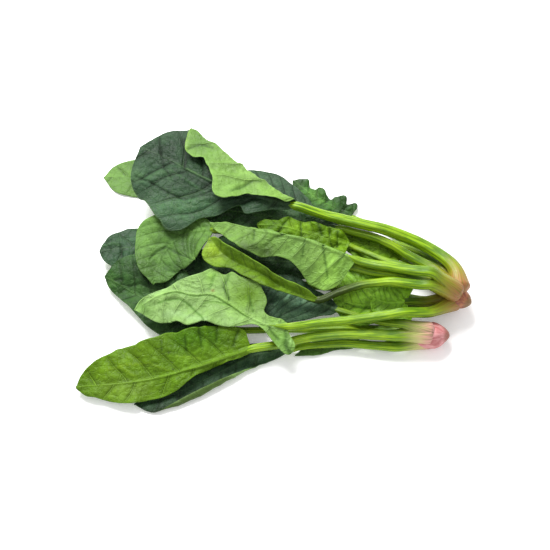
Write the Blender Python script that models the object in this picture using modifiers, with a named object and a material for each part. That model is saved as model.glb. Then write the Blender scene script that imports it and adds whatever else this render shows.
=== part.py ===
"""A bunch of spinach lying on a flat surface: two young plants, cut just under their crowns.

Each plant is a crown with its ring of leaves. Each leaf is a fleshy stalk that carries a thin blade.
The leaves are laid from the bottom of the heap to the top. Each one is settled on what already lies
there, as a limp sheet would be, so that it follows the leaves beneath it and crosses none of them.
"""

import math
from dataclasses import dataclass

import bmesh
import bpy
import numpy as np

MM = 0.001

# Blades: their thickness, and the raised rib along the middle, which tapers to the tip.
BLADE_THICK = 0.8 * MM
RIB_THICK = 2.8 * MM
RIB_TAPER = 0.8
RIB_REACH = 0.07
RUFFLE_REACH = 1.6
RUFFLE_SHIFT = 0.31
LOBE_SWEEP_FADE = 5

# Gaps: between a stalk and what it grows from, between leaves, and under the lowest leaf.
BUTT_GAP = 0.5 * MM
LEAF_GAP = 0.45 * MM
FLOOR_GAP = 0.15 * MM

# Stalks: the spacing of their bends, and the straight stretch at each end.
STALK_STEP = 11.0 * MM
STALK_END = 3.0 * MM
STALK_SIDES = 8
FEWEST_BENDS = 4
FOOT_BENDS = 5
CLEAR_OF_STALK = 3.5 * MM
BLADE_HOLDS_STALK = 22.0 * MM

# Crowns: how far the stalks' feet are grown together, and how much they swell towards the middle.
CROWN_REACH = 26.0 * MM
CROWN_CLEAR = 22.5 * MM
FOOT_SWELL = 0.45
FOOT_LENGTH = 13.0 * MM
NECK_STRETCH = 1.7
ROOT_PINCH = 0.35
KNOB_SIDES = 14
KNOB_RINGS = 9

# The heap's map of heights, and how limply a leaf hangs between the things that hold it up.
HEAP_CENTRE = (1.3 * MM, 6.0 * MM)
HEAP_HALF = (180.0 * MM, 135.0 * MM)
CELL = 1.5 * MM
EMPTY = -1.0
DROOP = 0.010 * MM
DRAPE_PASSES = 260
DRAPE_START_CELLS = 9
DRAPE_ROUND_CELLS = 3
BEND_PASSES = 1500
SETTLE_ROUNDS = 5
SETTLED = 0.03 * MM

# How finely the leaves are worked out, and how far out on a stalk's girth its rests are sought.
ROW_EASE = 0.06
ARC_STEPS = 60
SAMPLES = 11
GIRTH_SAMPLES = 9
GIRTH_SHARE = 0.95
WELD = 0.01 * MM
KNOT_STEPS = 80
LOOK_AHEAD = 2.0 * MM
STEEPEST = 0.4


@dataclass
class Plant:
    """A crown: its middle, its knob's radius and length, and the way that its cut root points."""

    middle: tuple
    knob_radius: float
    knob_length: float
    root_turn: float
    colour: str


@dataclass
class Leaf:
    """One leaf. Plan points are millimetres from the middle of the heap, from the crown outwards.

    Its margins are given as (share of the blade's length, half width) on each side of the rib. Slopes
    are degrees on the left and the right side, as seen from the base of the blade towards its tip. A
    fold is its side, its line as (share of the length, distance from the rib), its turn and its radius.
    """

    name: str
    plant: str
    colour: str
    stalk: list
    blade: list
    left: list
    right: list
    swept: float = 0.0
    slope_base: tuple = (8.0, 8.0)
    slope_tip: tuple = (4.0, 4.0)
    fold: tuple = None
    wave: tuple = (1.5, 2.5, 0.0)
    loft: tuple = (0.0, 0.0)
    thick: tuple = (3.4, 1.9)
    exit: float = 12.0
    cells: int = 4
    rows: int = 12


PLANTS = {
    "upper": Plant((130.0, -21.0, 14.0), 8.6, 9.5, -28.0, "crown_russet"),
    "lower": Plant((111.0, -48.0, 8.8), 9.6, 11.0, 2.0, "crown_rose"),
}

# From the bottom of the heap to the top.
LEAVES = [
    Leaf("under", "lower", "leaf_mid", [(86, -50), (74, -52)], [(60, -50), (42, -52), (28, -55), (14, -60)],
         [(0.15, 5), (0.4, 4), (0.7, 5)], [(0.2, 6), (0.5, 8), (0.8, 4)],
         wave=(1.2, 2.0, 0.4), thick=(2.7, 1.8), exit=4, cells=3),
    Leaf("back_ruffled", "upper", "leaf_mid", [(120, 5), (108, 22), (82, 43)],
         [(58, 55), (42, 64), (27, 75), (14, 89)],
         [(0.04, 10), (0.25, 12), (0.5, 11), (0.7, 10), (0.9, 5)],
         [(0.03, 9), (0.09, 13), (0.15, 7), (0.22, 13), (0.32, 10), (0.42, 6), (0.58, 9), (0.75, 5),
          (0.9, 8)],
         swept=0.6, wave=(2.4, 3.2, 0.9), slope_base=(25, 20), thick=(2.9, 1.8), exit=5, cells=3),
    Leaf("far_tip", "upper", "leaf_pale", [(113, 1), (100, 16), (57, 39)],
         [(8, 63), (-27, 76), (-58, 87), (-104, 93), (-132, 92)],
         [(0.12, 10), (0.44, 20), (0.78, 20), (0.93, 15)], [(0.17, 9), (0.5, 14), (0.85, 15), (0.95, 9)],
         wave=(1.2, 1.5, 0.5), thick=(3.5, 2.4), exit=6, cells=3),
    Leaf("left_tip", "upper", "leaf_dark", [(102, -17), (76, -10), (18, -4), (-18, 0)],
         [(-40, 3), (-69, 13), (-99, 24), (-128, 20)],
         [(0.12, 12), (0.44, 15), (0.65, 19), (0.87, 17), (0.97, 9)],
         [(0.2, 10), (0.5, 14), (0.7, 16), (0.87, 13), (0.96, 6)],
         wave=(1.6, 2.0, 1.5), loft=(4, 10), thick=(3.4, 2.2), exit=5, cells=3),
    Leaf("left_under", "lower", "leaf_mid", [(86, -42), (53, -41), (4, -40)],
         [(-35, -41), (-71, -31), (-97, -15), (-123, 0)],
         [(0.1, 12), (0.3, 18), (0.47, 17), (0.62, 14), (0.8, 9), (0.93, 5)],
         [(0.13, 18), (0.4, 31), (0.7, 33), (0.88, 25), (0.97, 14)],
         wave=(1.6, 2.2, 2.4), loft=(5, 5), thick=(3.4, 2.2), exit=6),
    Leaf("rolled", "lower", "leaf_dark", [(86, -56), (68, -55), (47, -53), (27, -54)],
         [(8, -57), (-14, -60), (-38, -73), (-65, -87), (-96, -97)],
         [(0.15, 8), (0.5, 14), (0.75, 15), (0.93, 8)], [(0.15, 8), (0.5, 15), (0.8, 12)],
         fold=("left", [(0.0, 6), (1.0, 9)], 150.0, 2.0), wave=(1.0, 2.0, 0.0), thick=(3.5, 2.2), exit=5,
         cells=5),
    Leaf("long", "lower", "leaf_bright", [(85, -51), (68, -50), (46, -49), (24, -51), (3, -56)],
         [(-16, -60), (-32, -65), (-64, -76), (-95, -83), (-136, -86)],
         [(0.08, 3), (0.2, 4), (0.34, 6), (0.45, 12), (0.56, 14), (0.7, 15), (0.85, 10), (0.95, 6)],
         [(0.02, 8), (0.06, 17), (0.16, 23), (0.32, 28), (0.45, 28), (0.6, 27), (0.78, 24), (0.9, 16),
          (0.97, 8)],
         slope_base=(-20, 20), slope_tip=(-8, 10), wave=(1.9, 3.2, 0.7), loft=(12, 6), thick=(3.9, 2.7),
         exit=12),
    Leaf("back", "upper", "leaf_dark", [(117, 6), (101, 20), (62, 34)],
         [(32, 49), (11, 60), (-10, 71), (-36, 80)],
         [(0.15, 7), (0.35, 12), (0.55, 16), (0.8, 15)],
         [(0.08, 5), (0.28, 13), (0.45, 17), (0.62, 20), (0.84, 14)],
         slope_base=(-12, -16), slope_tip=(-6, -8), wave=(1.4, 1.6, 1.0), loft=(18, 14), thick=(3.1, 2.0),
         exit=13, cells=3),
    Leaf("small_ruffled", "upper", "leaf_bright", [(109, -3), (101, 6)],
         [(91, 12), (76, 18), (62, 24), (49, 32)],
         [(0.05, 11), (0.3, 15), (0.65, 14), (0.87, 8)], [(0.08, 7), (0.46, 9), (0.83, 6)],
         swept=0.4, wave=(2.2, 3.0, 2.0), slope_base=(12, 12), loft=(14, 16), thick=(2.7, 1.7), exit=11,
         cells=3),
    Leaf("heart", "upper", "leaf_bright", [(104, -25), (95, -25)],
         [(84, -25), (70, -25), (57, -24), (41, -19)],
         [(0.1, 8), (0.3, 11), (0.55, 11), (0.8, 7)], [(0.1, 8), (0.35, 13), (0.65, 13), (0.88, 8)],
         swept=0.3, slope_base=(-14, 16), loft=(10, 10), wave=(1.3, 2.0, 0.2), thick=(2.9, 1.8), exit=9,
         cells=3),
    Leaf("heart_small", "upper", "leaf_bright", [(112, -23), (104, -24)],
         [(94, -24), (87, -25), (78, -25), (67, -21)],
         [(0.06, 10), (0.2, 17), (0.5, 14), (0.8, 9)], [(0.06, 9), (0.3, 13), (0.7, 12), (0.9, 7)],
         swept=0.3, slope_base=(-12, 12), wave=(2.0, 3.0, 1.2), loft=(14, 12), thick=(2.7, 1.7), exit=13,
         cells=3),
    Leaf("core", "upper", "leaf_dark", [(104, -11), (88, -9), (68, -1)],
         [(47, 7), (18, 9), (-14, 12), (-46, 15)],
         [(0.1, 10), (0.4, 17), (0.75, 14), (0.92, 8)], [(0.1, 10), (0.4, 18), (0.75, 15), (0.92, 8)],
         wave=(1.6, 2.0, 0.3), loft=(14, 8), thick=(3.1, 2.0), exit=12, cells=3),
    Leaf("grey", "lower", "leaf_dark", [(86, -45), (75, -42), (61, -37)],
         [(44, -31), (26, -22), (8, -13), (-14, -10)],
         [(0.04, 5), (0.15, 9), (0.32, 18), (0.55, 26), (0.78, 26), (0.92, 18)],
         [(0.12, 6), (0.38, 8), (0.65, 9), (0.9, 6)],
         slope_base=(-14, 10), slope_tip=(-12, 6), wave=(1.0, 1.8, 0.6), loft=(14, 14), thick=(3.1, 2.0),
         exit=13),
    Leaf("shaded", "upper", "leaf_dark", [(111, 0), (99, 8), (75, 23)],
         [(47, 32), (18, 39), (-18, 48), (-59, 56)],
         [(0.08, 6), (0.25, 9), (0.6, 15), (0.87, 12)], [(0.12, 8), (0.3, 12), (0.65, 14), (0.92, 10)],
         wave=(2.2, 3.4, 0.8), slope_base=(16, 12), loft=(22, 14), thick=(3.2, 2.1), exit=19),
    Leaf("crisp", "upper", "leaf_bright", [(107, -9), (88, -2), (69, 9)],
         [(54, 18), (32, 24), (11, 29), (-13, 35)],
         [(0.06, 11), (0.4, 13), (0.74, 11), (0.92, 6)], [(0.08, 6), (0.36, 9), (0.68, 8), (0.9, 5)],
         swept=0.4, wave=(2.4, 3.6, 1.1), slope_base=(22, 24), loft=(20, 22), thick=(2.9, 1.8), exit=18,
         cells=3),
    Leaf("middle_left", "upper", "leaf_mid", [(102, -16), (84, -12), (64, -6), (18, 12), (-18, 24)],
         [(-44, 31), (-66, 29), (-82, 13), (-87, -9)],
         [(0.05, 10), (0.18, 19), (0.55, 23), (0.8, 17), (0.94, 9)],
         [(0.08, 9), (0.22, 18), (0.42, 25), (0.55, 27), (0.7, 20), (0.88, 11)],
         wave=(1.5, 2.0, 1.9), slope_base=(6, 10), loft=(22, 10), thick=(3.6, 2.5), exit=19),
    Leaf("pale", "upper", "leaf_pale", [(107, -36), (90, -40), (61, -41), (31, -43)],
         [(9, -47), (-6, -45), (-19, -38), (-35, -26), (-44, -21), (-58, -21), (-70, -18), (-83, -22),
          (-98, -33)],
         [(0.02, 14), (0.06, 19), (0.1, 10), (0.15, 4), (0.21, 5), (0.26, 10), (0.33, 16), (0.54, 25),
          (0.64, 26), (0.8, 23), (0.9, 18), (0.96, 9)],
         [(0.04, 5), (0.13, 6), (0.19, 9), (0.22, 16), (0.28, 21), (0.35, 24), (0.42, 21), (0.46, 22),
          (0.49, 11), (0.52, 15), (0.55, 21), (0.6, 16), (0.67, 11), (0.74, 6), (0.85, 4), (0.95, 3)],
         swept=0.9, slope_base=(-10, 12), slope_tip=(-10, 6), wave=(1.7, 3.4, 0.4), loft=(20, 18),
         thick=(3.9, 2.7), exit=11),
    Leaf("boat", "upper", "leaf_bright", [(102, -22), (80, -19), (60, -17), (43, -21)],
         [(30, -26), (15, -21), (3, -15), (-10, -7), (-23, 1), (-36, 10), (-47, 22)],
         [(0.15, 3), (0.3, 6), (0.45, 9), (0.6, 8), (0.72, 7), (0.82, 13), (0.92, 13)],
         [(0.1, 8), (0.3, 9), (0.6, 10), (0.85, 9), (0.95, 6)],
         slope_base=(34, 72), slope_tip=(0, 66), wave=(1.0, 1.6, 0.5), loft=(20, 22), thick=(3.1, 2.0),
         exit=18),
    Leaf("saddle", "upper", "leaf_pale", [(106, -15), (88, -11), (72, -7)],
         [(57, -2), (44, 4), (26, 11), (4, 17), (-14, 23), (-30, 29), (-47, 33)],
         [(0.02, 10), (0.05, 21), (0.11, 26), (0.22, 26), (0.29, 22), (0.37, 18), (0.43, 15), (0.53, 15),
          (0.6, 19), (0.68, 19), (0.8, 15), (0.92, 8)],
         [(0.05, 3), (0.3, 4), (0.6, 4), (0.9, 3)],
         swept=0.0, slope_base=(-12, -45), slope_tip=(-22, -45), wave=(1.6, 2.6, 0.9), loft=(30, 26),
         thick=(3.9, 2.7), exit=20),
    Leaf("top", "upper", "leaf_dark", [(128, -3), (120, 8), (103, 20), (56, 34)],
         [(15, 45), (-14, 55), (-44, 66), (-63, 77), (-80, 88), (-101, 99)],
         [(0.05, 5), (0.12, 7), (0.19, 13), (0.25, 17), (0.3, 12), (0.34, 15), (0.39, 22), (0.45, 27),
          (0.48, 31), (0.52, 44), (0.56, 48), (0.63, 45), (0.72, 40), (0.84, 37), (0.93, 30), (0.975, 17)],
         [(0.04, 12), (0.12, 18), (0.2, 26), (0.28, 37), (0.33, 47), (0.38, 56), (0.45, 61), (0.49, 52),
          (0.54, 49), (0.61, 46), (0.68, 51), (0.745, 52), (0.79, 43), (0.815, 31), (0.84, 28),
          (0.89, 24), (0.93, 18), (0.965, 10)],
         slope_base=(-8, 4), slope_tip=(-10, 2),
         fold=("right", [(0.0, 0.5), (0.14, 5), (0.25, 10), (0.35, 15.5), (0.45, 20), (0.6, 24.5),
                         (0.82, 29), (1.0, 32)], 171.0, 2.4),
         wave=(1.8, 2.4, 1.3), loft=(32, 30), thick=(3.9, 2.7), exit=20, rows=24, cells=7),
]

COLOURS = {
    "leaf_dark": (0.075, 0.165, 0.085, 1.0),
    "leaf_mid": (0.105, 0.245, 0.065, 1.0),
    "leaf_bright": (0.215, 0.415, 0.045, 1.0),
    "leaf_pale": (0.330, 0.545, 0.175, 1.0),
    "stalk_green": (0.360, 0.560, 0.080, 1.0),
    "crown_russet": (0.560, 0.240, 0.170, 1.0),
    "crown_rose": (0.780, 0.330, 0.370, 1.0),
}
ROUGHNESS = 0.45


def smooth_curve(points, spacing=1.0 * MM):
    """Even points along a Catmull-Rom curve through the given ones, and how far along each given one is."""
    p = np.array(points, float)
    p = np.vstack([2.0 * p[0] - p[1], p, 2.0 * p[-1] - p[-2]])
    knots = np.concatenate([[0.0], np.cumsum(np.sqrt(np.linalg.norm(np.diff(p, axis=0), axis=1)))])
    dense, marks = [], []
    for i in range(1, len(p) - 2):
        k = knots[i - 1:i + 3]
        t = np.linspace(k[1], k[2], KNOT_STEPS, endpoint=False)[:, None]
        a1 = ((k[1] - t) * p[i - 1] + (t - k[0]) * p[i]) / (k[1] - k[0])
        a2 = ((k[2] - t) * p[i] + (t - k[1]) * p[i + 1]) / (k[2] - k[1])
        a3 = ((k[3] - t) * p[i + 1] + (t - k[2]) * p[i + 2]) / (k[3] - k[2])
        b1 = ((k[2] - t) * a1 + (t - k[0]) * a2) / (k[2] - k[0])
        b2 = ((k[3] - t) * a2 + (t - k[1]) * a3) / (k[3] - k[1])
        marks.append(len(dense))
        dense.extend(((k[2] - t) * b1 + (t - k[1]) * b2) / (k[2] - k[1]))
    marks.append(len(dense))
    dense = np.vstack([dense, p[-2]])
    along = np.concatenate([[0.0], np.cumsum(np.linalg.norm(np.diff(dense, axis=0), axis=1))])
    even = np.linspace(0.0, along[-1], max(2, int(along[-1] / spacing)) + 1)
    curve = np.stack([np.interp(even, along, dense[:, c]) for c in range(dense.shape[1])], axis=1)
    return curve, even, along[marks]


def along_curve(curve, even, where):
    """Places on a curve at given distances along it."""
    return np.stack([np.interp(where, even, curve[:, c]) for c in range(curve.shape[1])], axis=-1)


class Spine:
    """A leaf's line in plan: from the crown's middle, along the stalk, to the tip of the blade."""

    def __init__(self, leaf):
        crown = PLANTS[leaf.plant].middle[:2]
        points = np.array([crown, *leaf.stalk, *leaf.blade]) * MM - HEAP_CENTRE
        self.curve, self.even, marks = smooth_curve(points)
        self.base = marks[1 + len(leaf.stalk)]
        self.end = marks[-1]

    def at(self, where):
        """Plan points, and unit sideways directions to the left, at distances along the line."""
        where = np.asarray(where, float)
        ahead = along_curve(self.curve, self.even, np.minimum(where + LOOK_AHEAD, self.end))
        behind = along_curve(self.curve, self.even, np.maximum(where - LOOK_AHEAD, 0.0))
        way = ahead - behind
        way /= np.linalg.norm(way, axis=-1, keepdims=True)
        left = np.stack([-way[..., 1], way[..., 0]], axis=-1)
        return along_curve(self.curve, self.even, where), left


def half_widths(leaf, u, side, length):
    """The blade's half width on one side, from the stalk's own width at the base to a rounded tip."""
    margin = [(0.0, leaf.thick[1]), *(leaf.left, leaf.right)[side], (1.0, 0.0)]
    outline, _, _ = smooth_curve([(share * length, width * MM) for share, width in margin])
    return np.interp(u * length, np.maximum.accumulate(outline[:, 0]), outline[:, 1])


def cross_section(leaf, u, side, widths):
    """How far out and how high a half blade reaches, at even steps from the rib to its margin."""
    share = np.linspace(0.0, 1.0, ARC_STEPS)
    out_along = share[None, :] * widths[:, None]
    slope = leaf.slope_base[side] + (leaf.slope_tip[side] - leaf.slope_base[side]) * u
    angle = np.repeat(np.radians(slope)[:, None], ARC_STEPS, axis=1)
    if leaf.fold and leaf.fold[0] == ("left", "right")[side]:
        _, line, turn, radius = leaf.fold
        start = np.interp(u, *np.transpose(line))[:, None] * MM
        turned = math.radians(turn)
        angle = angle + turned * np.clip((out_along - start) / (radius * MM * turned), 0.0, 1.0)
    step = np.diff(out_along, axis=1, prepend=0.0)
    middle = angle.copy()
    middle[:, 1:] = 0.5 * (angle[:, 1:] + angle[:, :-1])
    return np.cumsum(np.cos(middle) * step, axis=1), np.cumsum(np.sin(middle) * step, axis=1)


def blade_sheet(leaf, spine, u, v):
    """Plan places and free heights of the blade's middle surface, for rows u and signed columns v."""
    where = spine.base + BUTT_GAP + u * (spine.end - spine.base - BUTT_GAP)
    length = spine.end - spine.base
    line, left = spine.at(where)
    ahead = np.stack([left[:, 1], -left[:, 0]], axis=-1)
    place = np.zeros((len(u), len(v), 3))
    for side, sign in ((0, 1.0), (1, -1.0)):
        widths = half_widths(leaf, u, side, length)
        reach, rise = cross_section(leaf, u, side, widths)
        columns = np.nonzero(v * sign >= 0.0)[0]
        share = np.linspace(0.0, 1.0, ARC_STEPS)
        for c in columns:
            out = np.array([np.interp(abs(v[c]), share, row) for row in reach])
            up = np.array([np.interp(abs(v[c]), share, row) for row in rise])
            back = leaf.swept * (1.0 - u) ** LOBE_SWEEP_FADE * np.maximum(out - CLEAR_OF_STALK, 0.0)
            place[:, c, :2] = line + sign * left * out[:, None] - ahead * back[:, None]
            place[:, c, 2] = up
    height, count, phase = leaf.wave
    outer = np.abs(v)[None, :] ** RUFFLE_REACH
    calm_ends = np.sqrt(np.sin(math.pi * np.clip(u, 0.0, 1.0)))[:, None]
    turn = count * u[:, None] + phase + RUFFLE_SHIFT * np.sign(v)[None, :]
    place[:, :, 2] += height * MM * outer * calm_ends * np.sin(2.0 * math.pi * turn)
    return place


def blade_columns(leaf):
    """Columns from the right margin to the left one, with the raised rib between two close ones."""
    outer = RIB_REACH + (1.0 - RIB_REACH) * np.linspace(0.0, 1.0, leaf.cells + 1)
    return np.concatenate([-outer[::-1], [0.0], outer])


def half_thickness(leaf, u, v):
    """Half of the blade's thickness: thin all over, with a rib that tapers to the tip."""
    rib = np.where(np.abs(v) < 0.5 * RIB_REACH, 1.0, 0.0)[None, :] * ((1.0 - u) ** RIB_TAPER)[:, None]
    return 0.5 * (BLADE_THICK + (RIB_THICK - BLADE_THICK) * rib)


def shifted(grid, dx, dy, fill):
    """The grid moved by whole cells."""
    out = np.full_like(grid, fill)
    nx, ny = grid.shape
    out[max(dx, 0):nx + min(dx, 0), max(dy, 0):ny + min(dy, 0)] = grid[
        max(-dx, 0):nx + min(-dx, 0), max(-dy, 0):ny + min(-dy, 0)]
    return out


def highest_near(grid, cells):
    """Each cell takes the highest value within some cells of it."""
    out = grid.copy()
    for d in range(-cells, cells + 1):
        out = np.maximum(out, shifted(grid, d, 0, EMPTY))
    wide = out.copy()
    for d in range(-cells, cells + 1):
        wide = np.maximum(wide, shifted(out, 0, d, EMPTY))
    return wide


def average_near(grid, cells):
    """Each cell takes the mean of the cells within some cells of it."""
    for axis in (0, 1):
        pad = [(cells, cells) if a == axis else (0, 0) for a in (0, 1)]
        sums = np.cumsum(np.pad(grid, pad, mode="edge"), axis=axis)
        sums = np.insert(sums, 0, 0.0, axis=axis)
        span = 2 * cells + 1
        high = np.take(sums, np.arange(span, sums.shape[axis]), axis=axis)
        low = np.take(sums, np.arange(0, sums.shape[axis] - span), axis=axis)
        grid = (high - low) / span
    return grid


def drape(need):
    """A limp sheet that sags between the heights it has to clear, with its contacts rounded."""
    held = np.where(need > EMPTY, need, need[need > EMPTY].min())
    sheet = average_near(highest_near(held, DRAPE_START_CELLS), DRAPE_START_CELLS)
    for _ in range(DRAPE_PASSES):
        padded = np.pad(sheet, 1, mode="edge")
        mean = (padded[2:, 1:-1] + padded[:-2, 1:-1] + padded[1:-1, 2:] + padded[1:-1, :-2]) / 4.0
        sheet = np.maximum(need, mean - DROOP)
    return average_near(highest_near(sheet, DRAPE_ROUND_CELLS), DRAPE_ROUND_CELLS)


class Heap:
    """How high the heap stands, cell by cell, and what a new leaf has to clear."""

    def __init__(self):
        self.count = tuple(int(round(2.0 * h / CELL)) + 1 for h in HEAP_HALF)
        self.top = np.zeros(self.count)

    def cells(self, x, y):
        """Whole cell numbers of plan points."""
        ix = np.clip(np.rint((x + HEAP_HALF[0]) / CELL).astype(int), 0, self.count[0] - 1)
        iy = np.clip(np.rint((y + HEAP_HALF[1]) / CELL).astype(int), 0, self.count[1] - 1)
        return ix, iy

    def floor(self):
        """The lowest height for a new leaf's underside, cell by cell."""
        near = highest_near(self.top, 1)
        return near + np.where(near > 0.0, LEAF_GAP, FLOOR_GAP)

    def value(self, grid, x, y):
        """A grid's value between its cells."""
        fx = np.clip((x + HEAP_HALF[0]) / CELL, 0.0, self.count[0] - 1.001)
        fy = np.clip((y + HEAP_HALF[1]) / CELL, 0.0, self.count[1] - 1.001)
        ix, iy = fx.astype(int), fy.astype(int)
        tx, ty = fx - ix, fy - iy
        near = grid[ix, iy] * (1.0 - tx) + grid[ix + 1, iy] * tx
        far = grid[ix, iy + 1] * (1.0 - tx) + grid[ix + 1, iy + 1] * tx
        return near * (1.0 - ty) + far * ty

    def add(self, x, y, high):
        """Raises the heap to new heights."""
        np.maximum.at(self.top, self.cells(x, y), high)


def facet_samples(grid):
    """Points all over a faceted sheet, with its quads split either way."""
    a, b = (t.ravel() for t in np.meshgrid(np.linspace(0, 1, SAMPLES), np.linspace(0, 1, SAMPLES)))
    c00, c10, c01, c11 = grid[:-1, :-1], grid[1:, :-1], grid[:-1, 1:], grid[1:, 1:]
    found = []
    for s, t in zip(a, b):
        if s + t <= 1.0:
            found.append(c00 + s * (c10 - c00) + t * (c01 - c00))
        else:
            found.append(c11 + (1 - s) * (c01 - c11) + (1 - t) * (c10 - c11))
        if s >= t:
            found.append(c00 + s * (c10 - c00) + t * (c11 - c10))
        else:
            found.append(c00 + t * (c01 - c00) + s * (c11 - c01))
    return np.concatenate([f.reshape(-1, grid.shape[-1]) for f in found])


def lofted(leaf, u):
    """How high a stiff leaf holds itself off the surface, whatever lies under it."""
    return (leaf.loft[0] + (leaf.loft[1] - leaf.loft[0]) * u) * MM


def steepness(place):
    """How much longer a sheet's thickness is upright than across, at each of its points."""
    along = np.gradient(place, axis=0)
    across = np.gradient(place, axis=1)
    normal = np.cross(along, across)
    length = np.maximum(np.linalg.norm(normal, axis=-1), 1e-12)
    return 1.0 / np.clip(np.abs(normal[..., 2]) / length, STEEPEST, 1.0)


def settle_blade(leaf, spine, heap):
    """Lays the blade on the heap. Returns its coarse middle surface and the drape under it."""
    even = np.linspace(0.0, 1.0, leaf.rows + 1)
    u = even - ROW_EASE * np.sin(2.0 * math.pi * even)
    v = blade_columns(leaf)
    place = blade_sheet(leaf, spine, u, v)
    thick = half_thickness(leaf, u, v)
    floor = heap.floor()
    need = np.full(heap.count, EMPTY)
    extra = np.zeros(heap.count)
    free = np.dstack([place, place[..., 2] - thick * steepness(place)])
    x, y, _, low = facet_samples(free).T
    where = heap.cells(x, y)
    np.maximum.at(need, where, floor[where] - low)
    for s in np.arange(spine.base - BLADE_HOLDS_STALK, spine.base, CELL):
        point, _ = spine.at(s)
        cell = heap.cells(point[0], point[1])
        need[cell] = max(need[cell], floor[cell] + leaf.thick[1] * MM)
    rows, columns = np.nonzero(need > EMPTY)
    pad = DRAPE_START_CELLS + 1
    window = (slice(max(rows.min() - pad, 0), rows.max() + pad),
              slice(max(columns.min() - pad, 0), columns.max() + pad))
    under = np.zeros(heap.count)
    for _ in range(SETTLE_ROUNDS):
        tight = np.where(need > EMPTY, need + extra, EMPTY)
        under[window] = drape(tight[window])
        laid = place.copy()
        held = heap.value(under, place[..., 0], place[..., 1])
        laid[..., 2] += np.maximum(held, lofted(leaf, u)[:, None])
        upright = thick * steepness(laid)
        x, y, _, low = facet_samples(np.dstack([laid, laid[..., 2] - upright])).T
        where = heap.cells(x, y)
        short = floor[where] - low
        if short.max() < SETTLED:
            break
        np.maximum.at(extra, where, extra[where] + short)
    rest = max(short.max(), 0.0)
    under += rest
    laid[..., 2] += rest
    return laid, upright, under


def settle_stalk(leaf, spine, heap, end_height, end_slope):
    """Bends the stalk over the heap, from its place on the crown to the base of its blade."""
    count = max(FEWEST_BENDS, int(math.ceil((spine.base - CROWN_REACH) / STALK_STEP)) + 1)
    inner = np.linspace(0.0, CROWN_REACH - STALK_END, FOOT_BENDS)
    outer = np.linspace(CROWN_REACH + STALK_END, spine.base - STALK_END, count)
    marks = np.concatenate([inner, outer, [spine.base]])
    dense = np.arange(0.0, spine.base, CELL)
    share = np.clip(dense / spine.base, 0.0, 1.0)
    radius = (leaf.thick[0] + (leaf.thick[1] - leaf.thick[0]) * share) * MM
    radius *= 1.0 + FOOT_SWELL * np.exp(-((dense / FOOT_LENGTH) ** 2))
    floor = heap.floor()
    plan, left = spine.at(dense)
    need = np.full(len(dense), EMPTY)
    for aside in np.linspace(-GIRTH_SHARE, GIRTH_SHARE, GIRTH_SAMPLES):
        spot = plan + left * (aside * radius)[:, None]
        lift = radius * math.sqrt(1.0 - aside * aside)
        need = np.maximum(need, floor[heap.cells(spot[:, 0], spot[:, 1])] + lift)
    need[dense < CROWN_CLEAR] = EMPTY
    start = leaf.exit * MM
    extra = np.zeros(len(dense))
    for _ in range(SETTLE_ROUNDS):
        bend = np.maximum(need + extra, start + (end_height - start) * share)
        for _ in range(BEND_PASSES):
            mean = bend.copy()
            mean[1:-1] = 0.5 * (bend[2:] + bend[:-2])
            bend = np.where(need > EMPTY, np.maximum(need + extra, mean - DROOP), mean)
            bend[0] = start
            bend[dense > spine.base - 2.0 * STALK_END] = end_height - end_slope * STALK_END
        heights = np.interp(marks, dense, bend)
        heights[-2] = end_height - end_slope * STALK_END
        heights[-1] = end_height
        chord = np.interp(dense, marks, heights)
        short = np.where(need > EMPTY, need - chord, 0.0)
        short[dense > spine.base - 2.0 * STALK_END] = 0.0
        if short.max() < SETTLED:
            break
        extra = extra + np.maximum(short, 0.0)
    line = np.column_stack([spine.at(marks)[0], heights])
    radii = np.interp(marks, dense, radius)
    foot = len(inner)
    before, after = line[foot - 1], line[foot]
    middle, half_gap = 0.5 * (before + after), 0.5 * BUTT_GAP * (after - before) / (2.0 * STALK_END)
    line = np.insert(line, [foot, foot], [middle - half_gap, middle + half_gap], axis=0)
    radii = np.insert(radii, [foot, foot], 0.5 * (radii[foot - 1] + radii[foot]))
    return line, radii, foot + 1


def record_stalk(heap, points, radii):
    """Adds a laid stalk to the heap's heights."""
    for (a, b), (ra, rb) in zip(zip(points[:-1], points[1:]), zip(radii[:-1], radii[1:])):
        side = np.array([-(b - a)[1], (b - a)[0]])
        side /= np.linalg.norm(side)
        for t in np.linspace(0.0, 1.0, 2 * SAMPLES):
            centre = a + (b - a) * t
            radius = ra + (rb - ra) * t
            for aside in np.linspace(-1.0, 1.0, GIRTH_SAMPLES):
                spot = centre[:2] + side * aside * radius
                high = centre[2] + radius * math.sqrt(max(1.0 - aside * aside, 0.0))
                heap.add(spot[:1], spot[1:2], np.array([high]))


def lay_heap():
    """Settles every leaf in turn. Returns each leaf's name with its stalk and its blade."""
    heap = Heap()
    laid = {}
    for leaf in LEAVES:
        spine = Spine(leaf)
        sheet, upright, under = settle_blade(leaf, spine, heap)
        base, ahead = sheet[0, leaf.cells + 1], sheet[1, leaf.cells + 1]
        slope = (ahead[2] - base[2]) / np.linalg.norm(ahead[:2] - base[:2])
        stalk, radii, split = settle_stalk(leaf, spine, heap, base[2], slope)
        high = sheet[..., 2] + upright
        x, y, top = facet_samples(np.dstack([sheet[..., :2], high])).T
        heap.add(x, y, top)
        record_stalk(heap, stalk, radii)
        laid[leaf.name] = (leaf, sheet, stalk, radii, split)
    return laid


def material(name):
    """A plain finish in one of the bunch's colours."""
    made = bpy.data.materials.get(name)
    if made is None:
        made = bpy.data.materials.new(name)
        made.use_nodes = True
        shader = made.node_tree.nodes["Principled BSDF"]
        shader.inputs["Base Color"].default_value = COLOURS[name]
        shader.inputs["Roughness"].default_value = ROUGHNESS
        shader.inputs["Metallic"].default_value = 0.0
        made.diffuse_color = COLOURS[name]
    return made


def collection(name):
    """A collection in the scene."""
    made = bpy.data.collections.new(name)
    bpy.context.scene.collection.children.link(made)
    return made


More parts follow.
